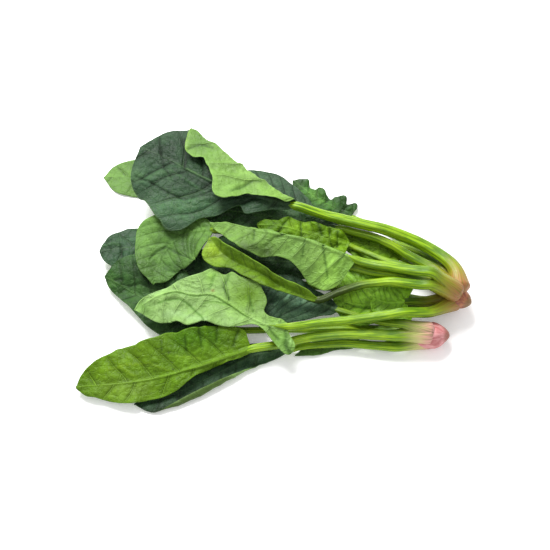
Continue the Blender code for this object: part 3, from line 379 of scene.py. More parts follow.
# Marks on single leaves: each is a line of (share of the length, distance to the left of the rib), how far
# it reaches, how much it is raised or sunk, and its tint. The tints are partly the leaves' own colour, in
# their veins and patches of tone, and partly painted light: dark tints along sunk creases and in hollows are
# painted shade, and light tints on raised swellings and the pale bluish patches are painted highlights and
# sheen.
MARKS_WITH_PAINTED_LIGHT = {
    "top": [
        ([(0.85, -6)], 10, 0, (0.50, 0.56, 0.55)),
        ([(0.62, 6), (0.45, 2)], 9, 0, (0.62, 0.67, 0.66)),
        ([(0.62, 4)], 26, 0, (0.76, 0.82, 0.76)),
        ([(0.70, -14)], 5, 0.7, (1.5, 1.4, 1.45)),
        ([(0.80, 18)], 6, 0.7, (1.5, 1.4, 1.45)),
        ([(0.74, 10)], 4, 0.8, (1.45, 1.35, 1.4)),
        ([(0.93, 4)], 6, 0, (0.7, 0.74, 0.72)),
        ([(0.65, 35), (0.52, 21)], 11, 0, (2.1, 2.05, 1.9)),
        ([(0.90, 20)], 8, 0, (1.3, 1.3, 1.3)),
        ([(0.80, -20), (0.72, -7), (0.69, 1)], 1.1, -0.7, (0.40, 0.45, 0.40)),
        ([(0.81, 23), (0.70, 24), (0.58, 22), (0.51, 12), (0.48, 7)], 1.0, -0.9, (0.45, 0.50, 0.45)),
        ([(0.76, 7), (0.64, 8), (0.51, 10)], 0.9, 0.4, (1.7, 1.65, 1.5)),
        ([(0.67, 0), (0.50, 0)], 1.0, 0.3, (1.7, 1.6, 1.4)),
        ([(0.93, 23), (0.81, 23)], 0.9, -0.6, (0.50, 0.55, 0.50)),
        ([(0.88, -3), (0.80, 8), (0.72, 12)], 1.0, -0.7, (0.50, 0.55, 0.50)),
        ([(0.70, -39)], 14, 0, (0.66, 0.70, 0.72)),
        ([(0.73, -50), (0.69, -40), (0.61, -34)], 0.9, 0.5, (0.50, 0.55, 0.50)),
        ([(0.36, -47), (0.31, -34), (0.27, -22), (0.23, -16)], 1.0, 0.6, (0.45, 0.52, 0.40)),
        ([(0.80, -40), (0.74, -52)], 1.2, 0, (1.3, 1.2, 1.3)),
        ([(0.51, -30), (0.27, -21)], 5, 0, (1.12, 1.06, 1.2)),
    ],
    "middle_left": [
        ([(0.73, -7), (0.64, -5), (0.55, -1), (0.53, 12), (0.47, 23)], 1.1, -1.0, (0.45, 0.50, 0.45)),
        ([(0.51, -21), (0.62, -14)], 9, 0, (1.35, 1.30, 1.30)),
        ([(0.47, -4), (0.41, 8)], 8, 0, (0.80, 0.85, 0.80)),
        ([(0.80, 6), (0.83, 13), (0.80, 18)], 1.0, -0.6, (0.50, 0.55, 0.50)),
        ([(0.29, -4), (0.49, 16)], 0.9, -0.4, (0.60, 0.65, 0.55)),
        ([(0.75, 11)], 9, 0, (0.80, 0.85, 0.90)),
    ],
    "left_under": [
        ([(0.71, -15)], 8, 0, (0.50, 0.55, 0.50)),
        ([(0.96, -3), (0.89, 4)], 4, 0, (1.35, 1.3, 1.2)),
        ([(0.91, -1), (0.86, -4)], 1.0, -0.6, (0.5, 0.55, 0.5)),
        ([(0.80, -2), (0.74, -7), (0.68, -9)], 1.0, -0.8, (0.5, 0.55, 0.5)),
        ([(0.73, -3)], 4, 0.4, (1.5, 1.45, 1.5)),
        ([(0.85, -18), (0.78, -11)], 1.0, -0.6, (0.5, 0.55, 0.5)),
    ],
    "left_tip": [
        ([(0.93, -1)], 6, 0, (0.60, 0.65, 0.60)),
        ([(0.96, -4), (0.88, -5), (0.84, -2)], 1.0, 0.5, (2.0, 1.8, 1.7)),
        ([(0.83, -2), (0.83, 10)], 1.1, -0.8, (0.4, 0.45, 0.4)),
        ([(0.75, -6)], 6, 0, (1.25, 1.2, 1.3)),
    ],
    "pale": [
        ([(0.85, 5), (0.70, 6), (0.63, 8), (0.49, 24)], 1.0, -0.6, (0.42, 0.55, 0.30)),
        ([(0.54, 7), (0.37, 1)], 0.9, -0.3, (0.65, 0.75, 0.5)),
        ([(0.53, -16), (0.53, -4)], 0.9, -0.5, (0.50, 0.60, 0.40)),
        ([(0.80, 1), (0.58, 1), (0.37, 1), (0.24, 1)], 0.9, -0.4, (0.62, 0.72, 0.50)),
        ([(0.47, -19), (0.46, -8), (0.40, -2)], 1.1, -1.0, (0.35, 0.45, 0.25)),
        ([(0.34, -13)], 15, 0, (0.42, 0.50, 0.06)),
        ([(0.32, -12), (0.23, -4)], 0.9, -0.4, (0.6, 0.7, 0.5)),
        ([(0.54, -15)], 5, 0, (0.85, 0.95, 0.6)),
        ([(0.95, 2)], 6, 0, (0.6, 0.7, 0.5)),
        ([(0.84, 15), (0.48, 23)], 3, 0, (1.15, 1.1, 1.4)),
        ([(0.51, -3)], 1.3, 0, (0.9, 0.45, 0.45)),
        ([(0.05, 12)], 11, 0, (0.70, 0.78, 0.70)),
        ([(0.01, 3), (0.05, 12), (0.05, 18)], 1.1, -1.0, (0.40, 0.48, 0.35)),
        ([(0.10, 2), (0.07, 9)], 1.1, -0.9, (0.45, 0.52, 0.40)),
        ([(0.03, 9), (0.01, 14)], 1.2, 0.9, (1.5, 1.4, 1.7)),
        ([(0.88, -3), (0.75, -6), (0.64, -14)], 1.1, 0, (1.15, 1.1, 1.4)),
    ],
    "grey": [
        ([(0.45, 5), (0.75, 10)], 13, 0, (1.9, 1.75, 2.1)),
        ([(0.57, 0), (0.59, 8), (0.74, 14)], 0.9, 0.4, (3.2, 2.8, 3.2)),
        ([(0.34, -2), (0.39, 5), (0.50, 11)], 0.9, 0.4, (2.6, 2.2, 2.6)),
        ([(0.17, -5), (0.15, 0)], 0.9, 0.3, (2.4, 2.0, 2.4)),
    ],
    "saddle": [
        ([(0.88, 6), (0.70, 5)], 7, 0, (0.80, 0.80, 0.75)),
        # Painted shadow on the lower side, where the blade curls down into the heap.
        ([(0.70, 17), (0.56, 13)], 5, 0, (0.35, 0.36, 0.30)),
        ([(0.69, 0), (0.67, 9)], 0.9, -0.5, (0.45, 0.50, 0.40)),
        ([(0.59, 10), (0.55, 3), (0.49, 0)], 0.9, -0.5, (0.60, 0.65, 0.5)),
        ([(0.35, 0), (0.34, 11)], 0.9, -0.5, (0.50, 0.58, 0.45)),
        ([(0.23, 0), (0.18, 9), (0.13, 18)], 1.0, -0.7, (0.45, 0.52, 0.40)),
        ([(0.08, 1), (0.11, 11)], 0.9, -0.4, (0.6, 0.68, 0.55)),
        ([(0.29, 5)], 8, 0.6, (1.15, 1.1, 1.2)),
        ([(0.15, 13)], 13, 0, (1.42, 1.40, 1.30)),
        ([(0.03, 10)], 8, 0, (0.8, 0.85, 0.75)),
    ],
    "crisp": [
        ([(0.48, -5)], 6, 0.6, (1.35, 1.25, 1.4)),
        ([(0.85, 0)], 7, 0, (0.55, 0.6, 0.6)),
        ([(0.38, -9), (0.30, -1)], 1.1, -0.9, (0.35, 0.4, 0.35)),
        ([(0.15, -5), (0.12, 4)], 1.1, -0.9, (0.35, 0.4, 0.35)),
        ([(0.24, -7), (0.21, 2), (0.15, 8)], 1.1, -0.9, (0.4, 0.45, 0.4)),
        ([(0.55, -7), (0.51, 4)], 1.1, -0.9, (0.35, 0.4, 0.35)),
        ([(0.70, -5), (0.75, 4)], 1.1, -0.9, (0.4, 0.45, 0.4)),
        ([(0.19, 0)], 4, 0.9, (1.5, 1.4, 1.4)),
        ([(0.62, -3)], 4, 0.9, (1.4, 1.3, 1.4)),
    ],
    "long": [
        ([(0.81, 4), (0.64, 6)], 9, 0, (1.25, 1.10, 2.5)),
        ([(0.20, -20), (0.36, -22)], 9, 0, (0.66, 0.82, 0.4)),
        ([(0.24, -26), (0.26, -12)], 1.1, -0.9, (0.5, 0.55, 0.4)),
        ([(0.14, -24), (0.17, -12)], 1.1, -0.9, (0.5, 0.55, 0.4)),
        ([(0.21, -24), (0.22, -14)], 1.1, 0.7, (1.4, 1.3, 1.2)),
        ([(0.48, -3), (0.58, -11), (0.75, -13)], 0.9, 0.3, (1.35, 1.25, 1.5)),
        ([(0.67, -4), (0.75, -12), (0.82, -10)], 0.9, 0.3, (1.3, 1.2, 1.5)),
        ([(0.29, -5), (0.41, -11)], 0.9, 0.3, (1.3, 1.2, 1.5)),
        ([(0.33, -22), (0.35, -13)], 1.1, -0.8, (0.45, 0.5, 0.4)),
        ([(0.09, -6), (0.04, -15)], 1.1, -0.8, (0.45, 0.5, 0.4)),
        ([(0.48, -24), (0.49, -18)], 1.0, -0.6, (0.55, 0.6, 0.5)),
        ([(0.45, -15)], 0.8, 0, (0.12, 0.12, 0.1)),
        ([(0.45, -3)], 0.8, 0, (0.12, 0.12, 0.1)),
        ([(0.18, -13), (0.07, -10)], 8, 0, (0.75, 0.8, 1.0)),
        ([(0.86, -11), (0.62, -18)], 8, 0, (1.2, 1.15, 1.0)),
    ],
    "rolled": [
        ([(0.90, 2), (0.81, 2), (0.75, 1)], 1.0, -0.4, (0.45, 0.5, 0.45)),
        ([(0.98, 12), (0.45, 13)], 8, 0, (0.32, 0.34, 0.2)),
        ([(0.25, 13)], 6, 0, (0.7, 0.75, 0.5)),
        ([(0.95, -6), (0.80, -9)], 6, 0, (1.1, 1.05, 0.8)),
    ],
    "boat": [
        ([(0.90, 5)], 7, 0, (2.6, 2.1, 5.0)),
        ([(0.68, -3), (0.32, -7)], 2.5, 0, (1.25, 1.2, 1.2)),
    ],
    "heart": [
        ([(0.47, -12), (0.31, -5), (0.34, 3)], 0.9, 0.3, (1.7, 1.5, 2.0)),
        ([(0.75, -4)], 7, 0, (1.4, 1.3, 1.3)),
        ([(0.10, 3), (0.60, 2), (0.90, 0)], 1.0, -0.6, (0.5, 0.55, 0.5)),
        ([(0.35, 3), (0.55, 12)], 1.0, 0.4, (1.6, 1.4, 2.0)),
    ],
    "small_ruffled": [
        ([(0.38, -3)], 6, 0, (1.3, 1.2, 1.3)),
        ([(0.56, 3), (0.47, 2)], 1.0, -0.6, (0.5, 0.55, 0.5)),
    ],
    "back_ruffled": [
        ([(0.35, 0), (0.75, 0)], 5, 0, (2.2, 2.1, 1.6)),
        ([(0.15, 2), (0.12, -10)], 1.2, -0.9, (0.4, 0.45, 0.4)),
        ([(0.45, 4), (0.38, -7)], 1.2, -0.9, (0.4, 0.45, 0.4)),
    ],
    "back": [([(0.78, -13), (0.55, -10)], 6, 0, (1.5, 1.4, 1.5))],
}


# Painted shade on the stalks that run deep into the heap: their tints at the foot and at the blade, and the
# share of the stalk's length in which the one turns into the other.
PAINTED_SHADE_TURNS = (0.45, 0.72)
STALK_PAINTED_SHADE = {"boat": (1.0, 0.18), "heart": (0.6, 0.6), "heart_small": (0.7, 0.7), "grey": (0.8, 0.7),
               "core": (0.6, 0.5), "shaded": (0.8, 0.7), "left_tip": (0.6, 0.5), "middle_left": (0.9, 0.8),
               "far_tip": (0.9, 0.7), "back": (0.8, 0.7), "crisp": (0.9, 0.8)}


def smooth_step(value, low, high):
    """0 below low, 1 above high, and a smooth rise between them."""
    share = np.clip((value - low) / (high - low), 0.0, 1.0)
    return share * share * (3.0 - 2.0 * share)


def between(grid, low, high, tx, ty):
    """A grid's value at a share of the way from its low cells to its high ones, in both directions."""
    near = grid[low[0], low[1]] * (1.0 - tx) + grid[high[0], low[1]] * tx
    far = grid[low[0], high[1]] * (1.0 - tx) + grid[high[0], high[1]] * tx
    return near * (1.0 - ty) + far * ty


def patchy(seed, x, y):
    """Smooth random values from -1 to 1 over a plane, with one patch to each whole step."""
    table = np.random.default_rng(seed).uniform(-1.0, 1.0, (NOISE_SIZE, NOISE_SIZE))
    spot = np.array(np.broadcast_arrays(np.asarray(x, float), np.asarray(y, float)))
    cell = np.floor(spot).astype(int)
    tx, ty = smooth_step(spot - cell, 0.0, 1.0)
    return between(table, cell % NOISE_SIZE, (cell + 1) % NOISE_SIZE, tx, ty)


def unit(vectors):
    """The same directions, each of length one."""
    return vectors / np.maximum(np.linalg.norm(vectors, axis=-1, keepdims=True), TINY)


def smooth_curve(points, spacing=1.0 * MM):
    """Even points along a Catmull-Rom curve through the given ones, and how far along each given one is."""
    p = np.array(points, float)
    p = np.vstack([2.0 * p[0] - p[1], p, 2.0 * p[-1] - p[-2]])
    knots = np.concatenate([[0.0], np.cumsum(np.sqrt(np.linalg.norm(np.diff(p, axis=0), axis=1)))])
    dense, marks = [], []
    for i in range(1, len(p) - 2):
        k = knots[i - 1:i + 3]
        t = np.linspace(k[1], k[2], KNOT_STEPS, endpoint=False)[:, None]
        a1 = ((k[1] - t) * p[i - 1] + (t - k[0]) * p[i]) / (k[1] - k[0])
        a2 = ((k[2] - t) * p[i] + (t - k[1]) * p[i + 1]) / (k[2] - k[1])
        a3 = ((k[3] - t) * p[i + 1] + (t - k[2]) * p[i + 2]) / (k[3] - k[2])
        b1 = ((k[2] - t) * a1 + (t - k[0]) * a2) / (k[2] - k[0])
        b2 = ((k[3] - t) * a2 + (t - k[1]) * a3) / (k[3] - k[1])
        marks.append(len(dense))
        dense.extend(((k[2] - t) * b1 + (t - k[1]) * b2) / (k[2] - k[1]))
    marks.append(len(dense))
    dense = np.vstack([dense, p[-2]])
    along = np.concatenate([[0.0], np.cumsum(np.linalg.norm(np.diff(dense, axis=0), axis=1))])
    even = np.linspace(0.0, along[-1], max(2, int(along[-1] / spacing)) + 1)
    curve = np.stack([np.interp(even, along, dense[:, c]) for c in range(dense.shape[1])], axis=1)
    return curve, even, along[marks]


def along_curve(curve, even, where):
    """Places on a curve at given distances along it."""
    return np.stack([np.interp(where, even, curve[:, c]) for c in range(curve.shape[1])], axis=-1)


class Spine:
    """A leaf's line in plan: from the crown's middle, along the stalk, to the tip of the blade."""

    def __init__(self, leaf):
        crown = PLANTS[leaf.plant].middle[:2]
        points = np.array([crown, *leaf.stalk, *leaf.blade]) * MM - HEAP_CENTRE
        self.curve, self.even, marks = smooth_curve(points)
        self.base = marks[1 + len(leaf.stalk)]
        self.end = marks[-1]

    def at(self, where, look_ahead=LOOK_AHEAD):
        """Plan points, and unit sideways directions to the left, at distances along the line."""
        where = np.asarray(where, float)
        ahead = along_curve(self.curve, self.even, np.minimum(where + look_ahead, self.end))
        behind = along_curve(self.curve, self.even, np.maximum(where - look_ahead, 0.0))
        way = unit(ahead - behind)
        left = np.stack([-way[..., 1], way[..., 0]], axis=-1)
        return along_curve(self.curve, self.even, where), left


def half_widths(leaf, u, side, length, seed):
    """The blade's half width on one side, from the stalk's own width at the base to a rounded tip."""
    margin = [(0.0, leaf.thick[1]), *(leaf.left, leaf.right)[side], (1.0, 0.0)]
    outline, _, _ = smooth_curve([(share * length, width * MM) for share, width in margin])
    smooth = np.interp(u * length, np.maximum.accumulate(outline[:, 0]), outline[:, 1])
    nicks = sum(depth * patchy(seed + 5 + i, u * length / step, side * NICK_DRAW_STEP)
                for i, (depth, step) in enumerate(NICKS))
    return smooth * (1.0 + nicks * min(leaf.frill, MOST_NICKS))


def cross_section(leaf, u, side, widths):
    """How far out and how high a half blade reaches, at even steps from the rib to its margin."""
    share = np.linspace(0.0, 1.0, ARC_STEPS)
    out_along = share[None, :] * widths[:, None]
    slope = leaf.slope_base[side] + (leaf.slope_tip[side] - leaf.slope_base[side]) * u
    angle = np.repeat(np.radians(slope)[:, None], ARC_STEPS, axis=1)
    if leaf.fold and leaf.fold[0] == ("left", "right")[side]:
        _, line, turn, radius = leaf.fold
        start = np.interp(u, *np.transpose(line))[:, None] * MM
        turned = math.radians(turn)
        angle = angle + turned * np.clip((out_along - start) / (radius * MM * turned), 0.0, 1.0)
    step = np.diff(out_along, axis=1, prepend=0.0)
    middle = angle.copy()
    middle[:, 1:] = 0.5 * (angle[:, 1:] + angle[:, :-1])
    return np.cumsum(np.cos(middle) * step, axis=1), np.cumsum(np.sin(middle) * step, axis=1)


@dataclass
class Sheet:
    """A blade's middle surface, with what its veins and relief are drawn from at each of its points."""

    place: np.ndarray
    u: np.ndarray
    v: np.ndarray
    across: np.ndarray
    phase: np.ndarray
    along: np.ndarray
    rib: np.ndarray


def blade_grid(leaf, length):
    """Even rows along a blade, and columns across it that crowd towards its rib."""
    widest = max(width for _, width in leaf.left + leaf.right) * MM
    even = np.linspace(0.0, 1.0, int(length / FINE_STEP) + 1)
    half = np.linspace(0.0, 1.0, int(widest / FINE_STEP) + 1)[1:] ** RIB_CROWDING
    return even - ROW_EASE * np.sin(2.0 * math.pi * even), np.concatenate([half[::-1], [0.0], -half])


def blade_sheet(leaf, spine, seed):
    """The blade's middle surface before it is laid down, with its puckers and ruffles."""
    length = spine.end - spine.base
    u, v = blade_grid(leaf, length)
    line, left = spine.at(spine.base + BUTT_GAP + u * (length - BUTT_GAP), leaf.easy_turn * MM)
    ahead = np.stack([left[:, 1], -left[:, 0]], axis=-1)
    place = np.zeros((len(u), len(v), 3))
    across = np.zeros((len(u), len(v)))
    share = np.linspace(0.0, 1.0, ARC_STEPS)
    for side, sign in ((0, 1.0), (1, -1.0)):
        widths = half_widths(leaf, u, side, length, seed)
        reach, rise = cross_section(leaf, u, side, widths)
        for c in np.nonzero(v * sign >= 0.0)[0]:
            out = np.array([np.interp(abs(v[c]), share, row) for row in reach])
            up = np.array([np.interp(abs(v[c]), share, row) for row in rise])
            back = leaf.swept * (1.0 - u) ** LOBE_SWEEP_FADE * np.maximum(out - CLEAR_OF_STALK, 0.0)
            place[:, c, :2] = line + sign * left * out[:, None] - ahead * back[:, None]
            place[:, c, 2] = up
            across[:, c] = v[c] * widths
    place[:, :, 2] += ruffles(leaf, u, v)
    along = np.repeat((u * length)[:, None], len(v), axis=1)
    rib = np.abs(across) / (RIB_HALF * (1.0 - RIB_NARROWING * u[:, None]))
    sheet = Sheet(place, u, v, across, vein_phase(leaf, across, along, length, seed), along, rib)
    place += unit_normals(place) * relief(leaf, sheet, seed)[..., None]
    return sheet


def ruffles(leaf, u, v):
    """How the waves of the margins lift a blade at each of its points."""
    height, count, phase = leaf.wave
    outer = np.abs(v)[None, :] ** RUFFLE_REACH
    calm_ends = np.sqrt(np.sin(math.pi * np.clip(u, 0.0, 1.0)))[:, None]
    turn = count * u[:, None] + phase + RUFFLE_SHIFT * np.sign(v)[None, :]
    return height * MM * outer * calm_ends * np.sin(2.0 * math.pi * turn)


def vein_phase(leaf, across, along, length, seed):
    """A number that is whole on each side vein, and rises from one side vein to the next."""
    out = np.abs(across) / length
    wander = VEIN_WANDER * patchy(seed + 1, across / VEIN_WANDER_STEP, along / VEIN_WANDER_STEP)
    run = leaf.veins * (along / length - VEIN_LEAN * out - VEIN_ARCH * out ** 2 + wander)
    run = run + VEIN_UNEVEN * patchy(seed + 11, 0.9 * run, np.where(across > 0.0, *VEIN_DRAWS))
    return run + np.where(across > 0.0, VEIN_STAGGER, 0.0)


def blisters(seed, x, y):
    """Rounded swellings with sharp creases between them, one to about each whole step: 0 in a crease."""
    random = np.random.default_rng(seed).uniform(0.0, 1.0, (NOISE_SIZE, NOISE_SIZE, 2))
    cx, cy = np.floor(x).astype(int), np.floor(y).astype(int)
    nearest = np.full(x.shape, 9.0)
    second = np.full(x.shape, 9.0)
    for dx in (-1, 0, 1):
        for dy in (-1, 0, 1):
            spot = random[(cx + dx) % NOISE_SIZE, (cy + dy) % NOISE_SIZE]
            away = np.hypot(cx + dx + spot[..., 0] - x, cy + dy + spot[..., 1] - y)
            second = np.minimum(second, np.maximum(nearest, away))
            nearest = np.minimum(nearest, away)
    return np.sqrt(np.clip(second - nearest, 0.0, 1.0))


def relief(leaf, sheet, seed):
    """How far a blade is lifted by its swellings, its buckles, its frilled margin and its marks."""
    x, y, outer = sheet.across, sheet.along, np.abs(sheet.v)[None, :]
    swell = np.abs(np.sin(math.pi * sheet.phase)) ** SWELL_POWER
    patch = PATCH_RANGE[0] + PATCH_RANGE[1] * patchy(seed + 2, x / PATCH_STEP, y / PATCH_STEP)
    lean_x, lean_y = (np.abs(x) + y) / BLISTER_STEPS[0], (np.abs(x) - y) / BLISTER_STEPS[1]
    small = blisters(seed + 3, np.where(x > 0.0, lean_x, lean_x + BLISTER_DRAW_STEP), lean_y)
    inside = smooth_step(np.abs(x), 0.0, CLEAR_OF_RIB) * (1.0 - outer ** 6)
    swollen = SWELL_HEIGHT * swell * patch + BLISTER_HEIGHT * small * swell - SWELL_SINK
    pucker = leaf.pucker * inside * swollen
    buckle = leaf.buckle * patchy(seed + 4, x / BUCKLE_STEPS[0], y / BUCKLE_STEPS[1]) * outer ** 0.7
    side = np.where(x > 0.0, *FRILL_DRAWS)
    frill = leaf.frill * outer ** 4 * sum(
        height * patchy(seed + 8 + i, side, y / step) for i, (height, step) in enumerate(FRILLS))
    lift = sum(height * near_mark(sheet, line, reach)
               for line, reach, height, _ in MARKS_WITH_PAINTED_LIGHT.get(leaf.name, []))
    up = -1.0 if leaf.face_down else 1.0
    return (up * pucker + buckle + frill + lift) * MM * smooth_step(sheet.u, 0.0, CALM_BASE)[:, None]


def near_mark(sheet, line, reach):
    """How near each point of a blade is to a marked line: 1 on it, and 0 well away from it."""
    spots = np.array(line) * (sheet.along.max(), MM)
    away = np.full(sheet.along.shape, np.inf)
    for (ya, xa), (yb, xb) in zip(spots, [*spots[1:], spots[-1]]):
        run = max((yb - ya) ** 2 + (xb - xa) ** 2, TINY)
        t = np.clip(((sheet.along - ya) * (yb - ya) + (sheet.across - xa) * (xb - xa)) / run, 0.0, 1.0)
        here = np.hypot(sheet.along - ya - t * (yb - ya), sheet.across - xa - t * (xb - xa))
        away = np.minimum(away, here)
    return np.exp(-(away / (reach * MM)) ** 2)


def tone_map(leaf, sheet):
    """The tint of a blade at each of its points, from the marks on it: partly its own tone, partly painted
    shade and highlights.
    """
    tone = np.ones(sheet.place.shape)
    for line, reach, _, colour in MARKS_WITH_PAINTED_LIGHT.get(leaf.name, []):
        tone *= 1.0 + near_mark(sheet, line, reach)[..., None] * (np.array(colour) - 1.0)
    return tone


def unit_normals(place):
    """Unit normals of a sheet, which point up where it lies flat."""
    return unit(np.cross(np.gradient(place, axis=1), np.gradient(place, axis=0)))


def rib_profile(sheet):
    """Where the blade is thickened by its rib, from 0 to 1."""
    return np.clip(1.0 - sheet.rib ** 2, 0.0, 1.0) * ((1.0 - sheet.u) ** RIB_TAPER)[:, None]


def shifted(grid, dx, dy):
    """The grid moved by whole cells, with empty ones behind it."""
    out = np.full_like(grid, EMPTY)
    nx, ny = grid.shape
    out[max(dx, 0):nx + min(dx, 0), max(dy, 0):ny + min(dy, 0)] = grid[
        max(-dx, 0):nx + min(-dx, 0), max(-dy, 0):ny + min(-dy, 0)]
    return out


def highest_near(grid, cells):
    """Each cell takes the highest value within some cells of it."""
    for dx, dy in ((1, 0), (0, 1)):
        grid = np.maximum.reduce([shifted(grid, d * dx, d * dy) for d in range(-cells, cells + 1)])
    return grid


def average_near(grid, cells):
    """Each cell takes the mean of the cells within some cells of it."""
    for axis in (0, 1):
        pad = [(cells, cells) if a == axis else (0, 0) for a in (0, 1)]
        sums = np.cumsum(np.pad(grid, pad, mode="edge"), axis=axis)
        sums = np.insert(sums, 0, 0.0, axis=axis)
        span = 2 * cells + 1
        high = np.take(sums, np.arange(span, sums.shape[axis]), axis=axis)
        low = np.take(sums, np.arange(0, sums.shape[axis] - span), axis=axis)
        grid = (high - low) / span
    return grid


def drape(need):
    """A limp sheet that sags between the heights it has to clear, with its contacts rounded."""
    held = np.where(need > EMPTY, need, need[need > EMPTY].min())
    sheet = average_near(highest_near(held, DRAPE_START_CELLS), DRAPE_START_CELLS)
    for _ in range(DRAPE_PASSES):
        padded = np.pad(sheet, 1, mode="edge")
        mean = (padded[2:, 1:-1] + padded[:-2, 1:-1] + padded[1:-1, 2:] + padded[1:-1, :-2]) / 4.0
        sheet = np.maximum(need, mean - DROOP)
    return average_near(highest_near(sheet, DRAPE_ROUND_CELLS), DRAPE_ROUND_CELLS)


class Heap:
    """How high the heap stands, cell by cell, and what a new leaf has to clear."""

    def __init__(self):
        self.count = tuple(int(round(2.0 * h / CELL)) + 1 for h in HEAP_HALF)
        self.top = np.zeros(self.count)

    def cells(self, x, y):
        """Whole cell numbers of plan points."""
        ix = np.clip(np.rint((x + HEAP_HALF[0]) / CELL).astype(int), 0, self.count[0] - 1)
        iy = np.clip(np.rint((y + HEAP_HALF[1]) / CELL).astype(int), 0, self.count[1] - 1)
        return ix, iy

    def floor(self):
        """The lowest height for a new leaf's underside, cell by cell."""
        near = highest_near(self.top, 1)
        return near + np.where(near > 0.0, LEAF_GAP, FLOOR_GAP)

    def value(self, grid, x, y):
        """A grid's value between its cells."""
        fx = np.clip((x + HEAP_HALF[0]) / CELL, 0.0, self.count[0] - 1.001)
        fy = np.clip((y + HEAP_HALF[1]) / CELL, 0.0, self.count[1] - 1.001)
        low = np.array([fx, fy]).astype(int)
        return between(grid, low, low + 1, fx - low[0], fy - low[1])

    def add(self, x, y, high):
        """Raises the heap to new heights."""
        np.maximum.at(self.top, self.cells(x, y), high)


def samples(grid):
    """A fine sheet's points and the middles of its cells."""
    middle = 0.25 * (grid[:-1, :-1] + grid[1:, :-1] + grid[:-1, 1:] + grid[1:, 1:])
    width = grid.shape[-1]
    return np.concatenate([grid.reshape(-1, width), middle.reshape(-1, width)])


def lofted(leaf, u):
    """How high a stiff leaf holds itself off the surface, whatever lies under it."""
    return (leaf.loft[0] + (leaf.loft[1] - leaf.loft[0]) * u) * MM


def upright(sheet, place, thin):
    """Half of the blade's thickness, measured upright, at each of its points."""
    steep = 1.0 / np.clip(np.abs(unit_normals(place)[..., 2]), STEEPEST, 1.0)
    return 0.5 * (thin + (RIB_THICK - thin) * rib_profile(sheet)) * steep


def shortfall(place, half, heap, floor):
    """The cells under a sheet's points, and how far each point is short of clearing the heap."""
    x, y, _, low = samples(np.dstack([place, place[..., 2] - half])).T
    where = heap.cells(x, y)
    return where, floor[where] - low


def window_round(need):
    """The part of the heap's map that a blade lies in, with some room round it."""
    rows, columns = np.nonzero(need > EMPTY)
    pad = DRAPE_START_CELLS + 1
    return (slice(max(rows.min() - pad, 0), rows.max() + pad),
            slice(max(columns.min() - pad, 0), columns.max() + pad))


def settle_blade(leaf, spine, sheet, heap, thin):
    """Lays the blade on the heap. Returns its half thickness, measured upright."""
    floor = heap.floor()
    need, extra, under = np.full(heap.count, EMPTY), np.zeros(heap.count), np.zeros(heap.count)
    where, short = shortfall(sheet.place, upright(sheet, sheet.place, thin), heap, floor)
    np.maximum.at(need, where, short)
    for s in np.arange(spine.base - BLADE_HOLDS_STALK, spine.base, CELL):
        cell = heap.cells(*spine.at(s)[0])
        need[cell] = max(need[cell], floor[cell] + leaf.thick[1] * MM)
    window = window_round(need)
    for _ in range(SETTLE_ROUNDS):
        under[window] = drape(np.where(need > EMPTY, need + extra, EMPTY)[window])
        laid = sheet.place.copy()
        held = heap.value(under, laid[..., 0], laid[..., 1])
        laid[..., 2] += np.maximum(held, lofted(leaf, sheet.u)[:, None])
        half = upright(sheet, laid, thin)
        where, short = shortfall(laid, half, heap, floor)
        if short.max() < SETTLED:
            break
        np.maximum.at(extra, where, extra[where] + short)
    laid[..., 2] += max(short.max(), 0.0)
    sheet.place = laid
    return half


def stalk_marks(spine):
    """Distances along a stalk's line at which it may bend: close together on its crown, even beyond."""
    count = max(FEWEST_BENDS, int(math.ceil((spine.base - CROWN_REACH) / STALK_STEP)) + 1)
    inner = np.linspace(0.0, CROWN_REACH - STALK_END, FOOT_BENDS)
    outer = np.linspace(CROWN_REACH + STALK_END, spine.base - STALK_END, count)
    return np.concatenate([inner, outer, [spine.base]])


def stalk_need(spine, heap, dense, radius):
    """The least height of a stalk's middle at distances along it, or none close to its crown."""
    floor = heap.floor()
    plan, left = spine.at(dense)
    need = np.full(len(dense), EMPTY)
    for aside in np.linspace(-GIRTH_SHARE, GIRTH_SHARE, GIRTH_SAMPLES):
        spot = plan + left * (aside * radius)[:, None]
        lift = radius * math.sqrt(1.0 - aside * aside)
        need = np.maximum(need, floor[heap.cells(spot[:, 0], spot[:, 1])] + lift)
    need[dense < CROWN_CLEAR] = EMPTY
    return need


def settle_stalk(leaf, spine, heap, end_height, end_slope):
    """Bends the stalk over the heap, from its place on the crown to the base of its blade."""
    marks = stalk_marks(spine)
    dense = np.arange(0.0, spine.base, CELL)
    share = np.clip(dense / spine.base, 0.0, 1.0)
    radius = (leaf.thick[0] + (leaf.thick[1] - leaf.thick[0]) * share) * MM
    radius *= 1.0 + FOOT_SWELL * np.exp(-((dense / FOOT_LENGTH) ** 2))
    need = stalk_need(spine, heap, dense, radius)
    start, neck = leaf.exit * MM, end_height - end_slope * STALK_END
    at_end = dense > spine.base - 2.0 * STALK_END
    extra = np.zeros(len(dense))
    for _ in range(SETTLE_ROUNDS):
        bend = np.maximum(need + extra, start + (end_height - start) * share)
        for _ in range(BEND_PASSES):
            mean = bend.copy()
            mean[1:-1] = 0.5 * (bend[2:] + bend[:-2])
            bend = np.where(need > EMPTY, np.maximum(need + extra, mean - DROOP), mean)
            bend[0] = start
            bend[at_end] = neck
        heights = np.interp(marks, dense, bend)
        heights[-2:] = neck, end_height
        short = np.where((need > EMPTY) & ~at_end, need - np.interp(dense, marks, heights), 0.0)
        if short.max() < SETTLED:
            break
        extra = extra + np.maximum(short, 0.0)
    return np.column_stack([spine.at(marks)[0], heights]), np.interp(marks, dense, radius)


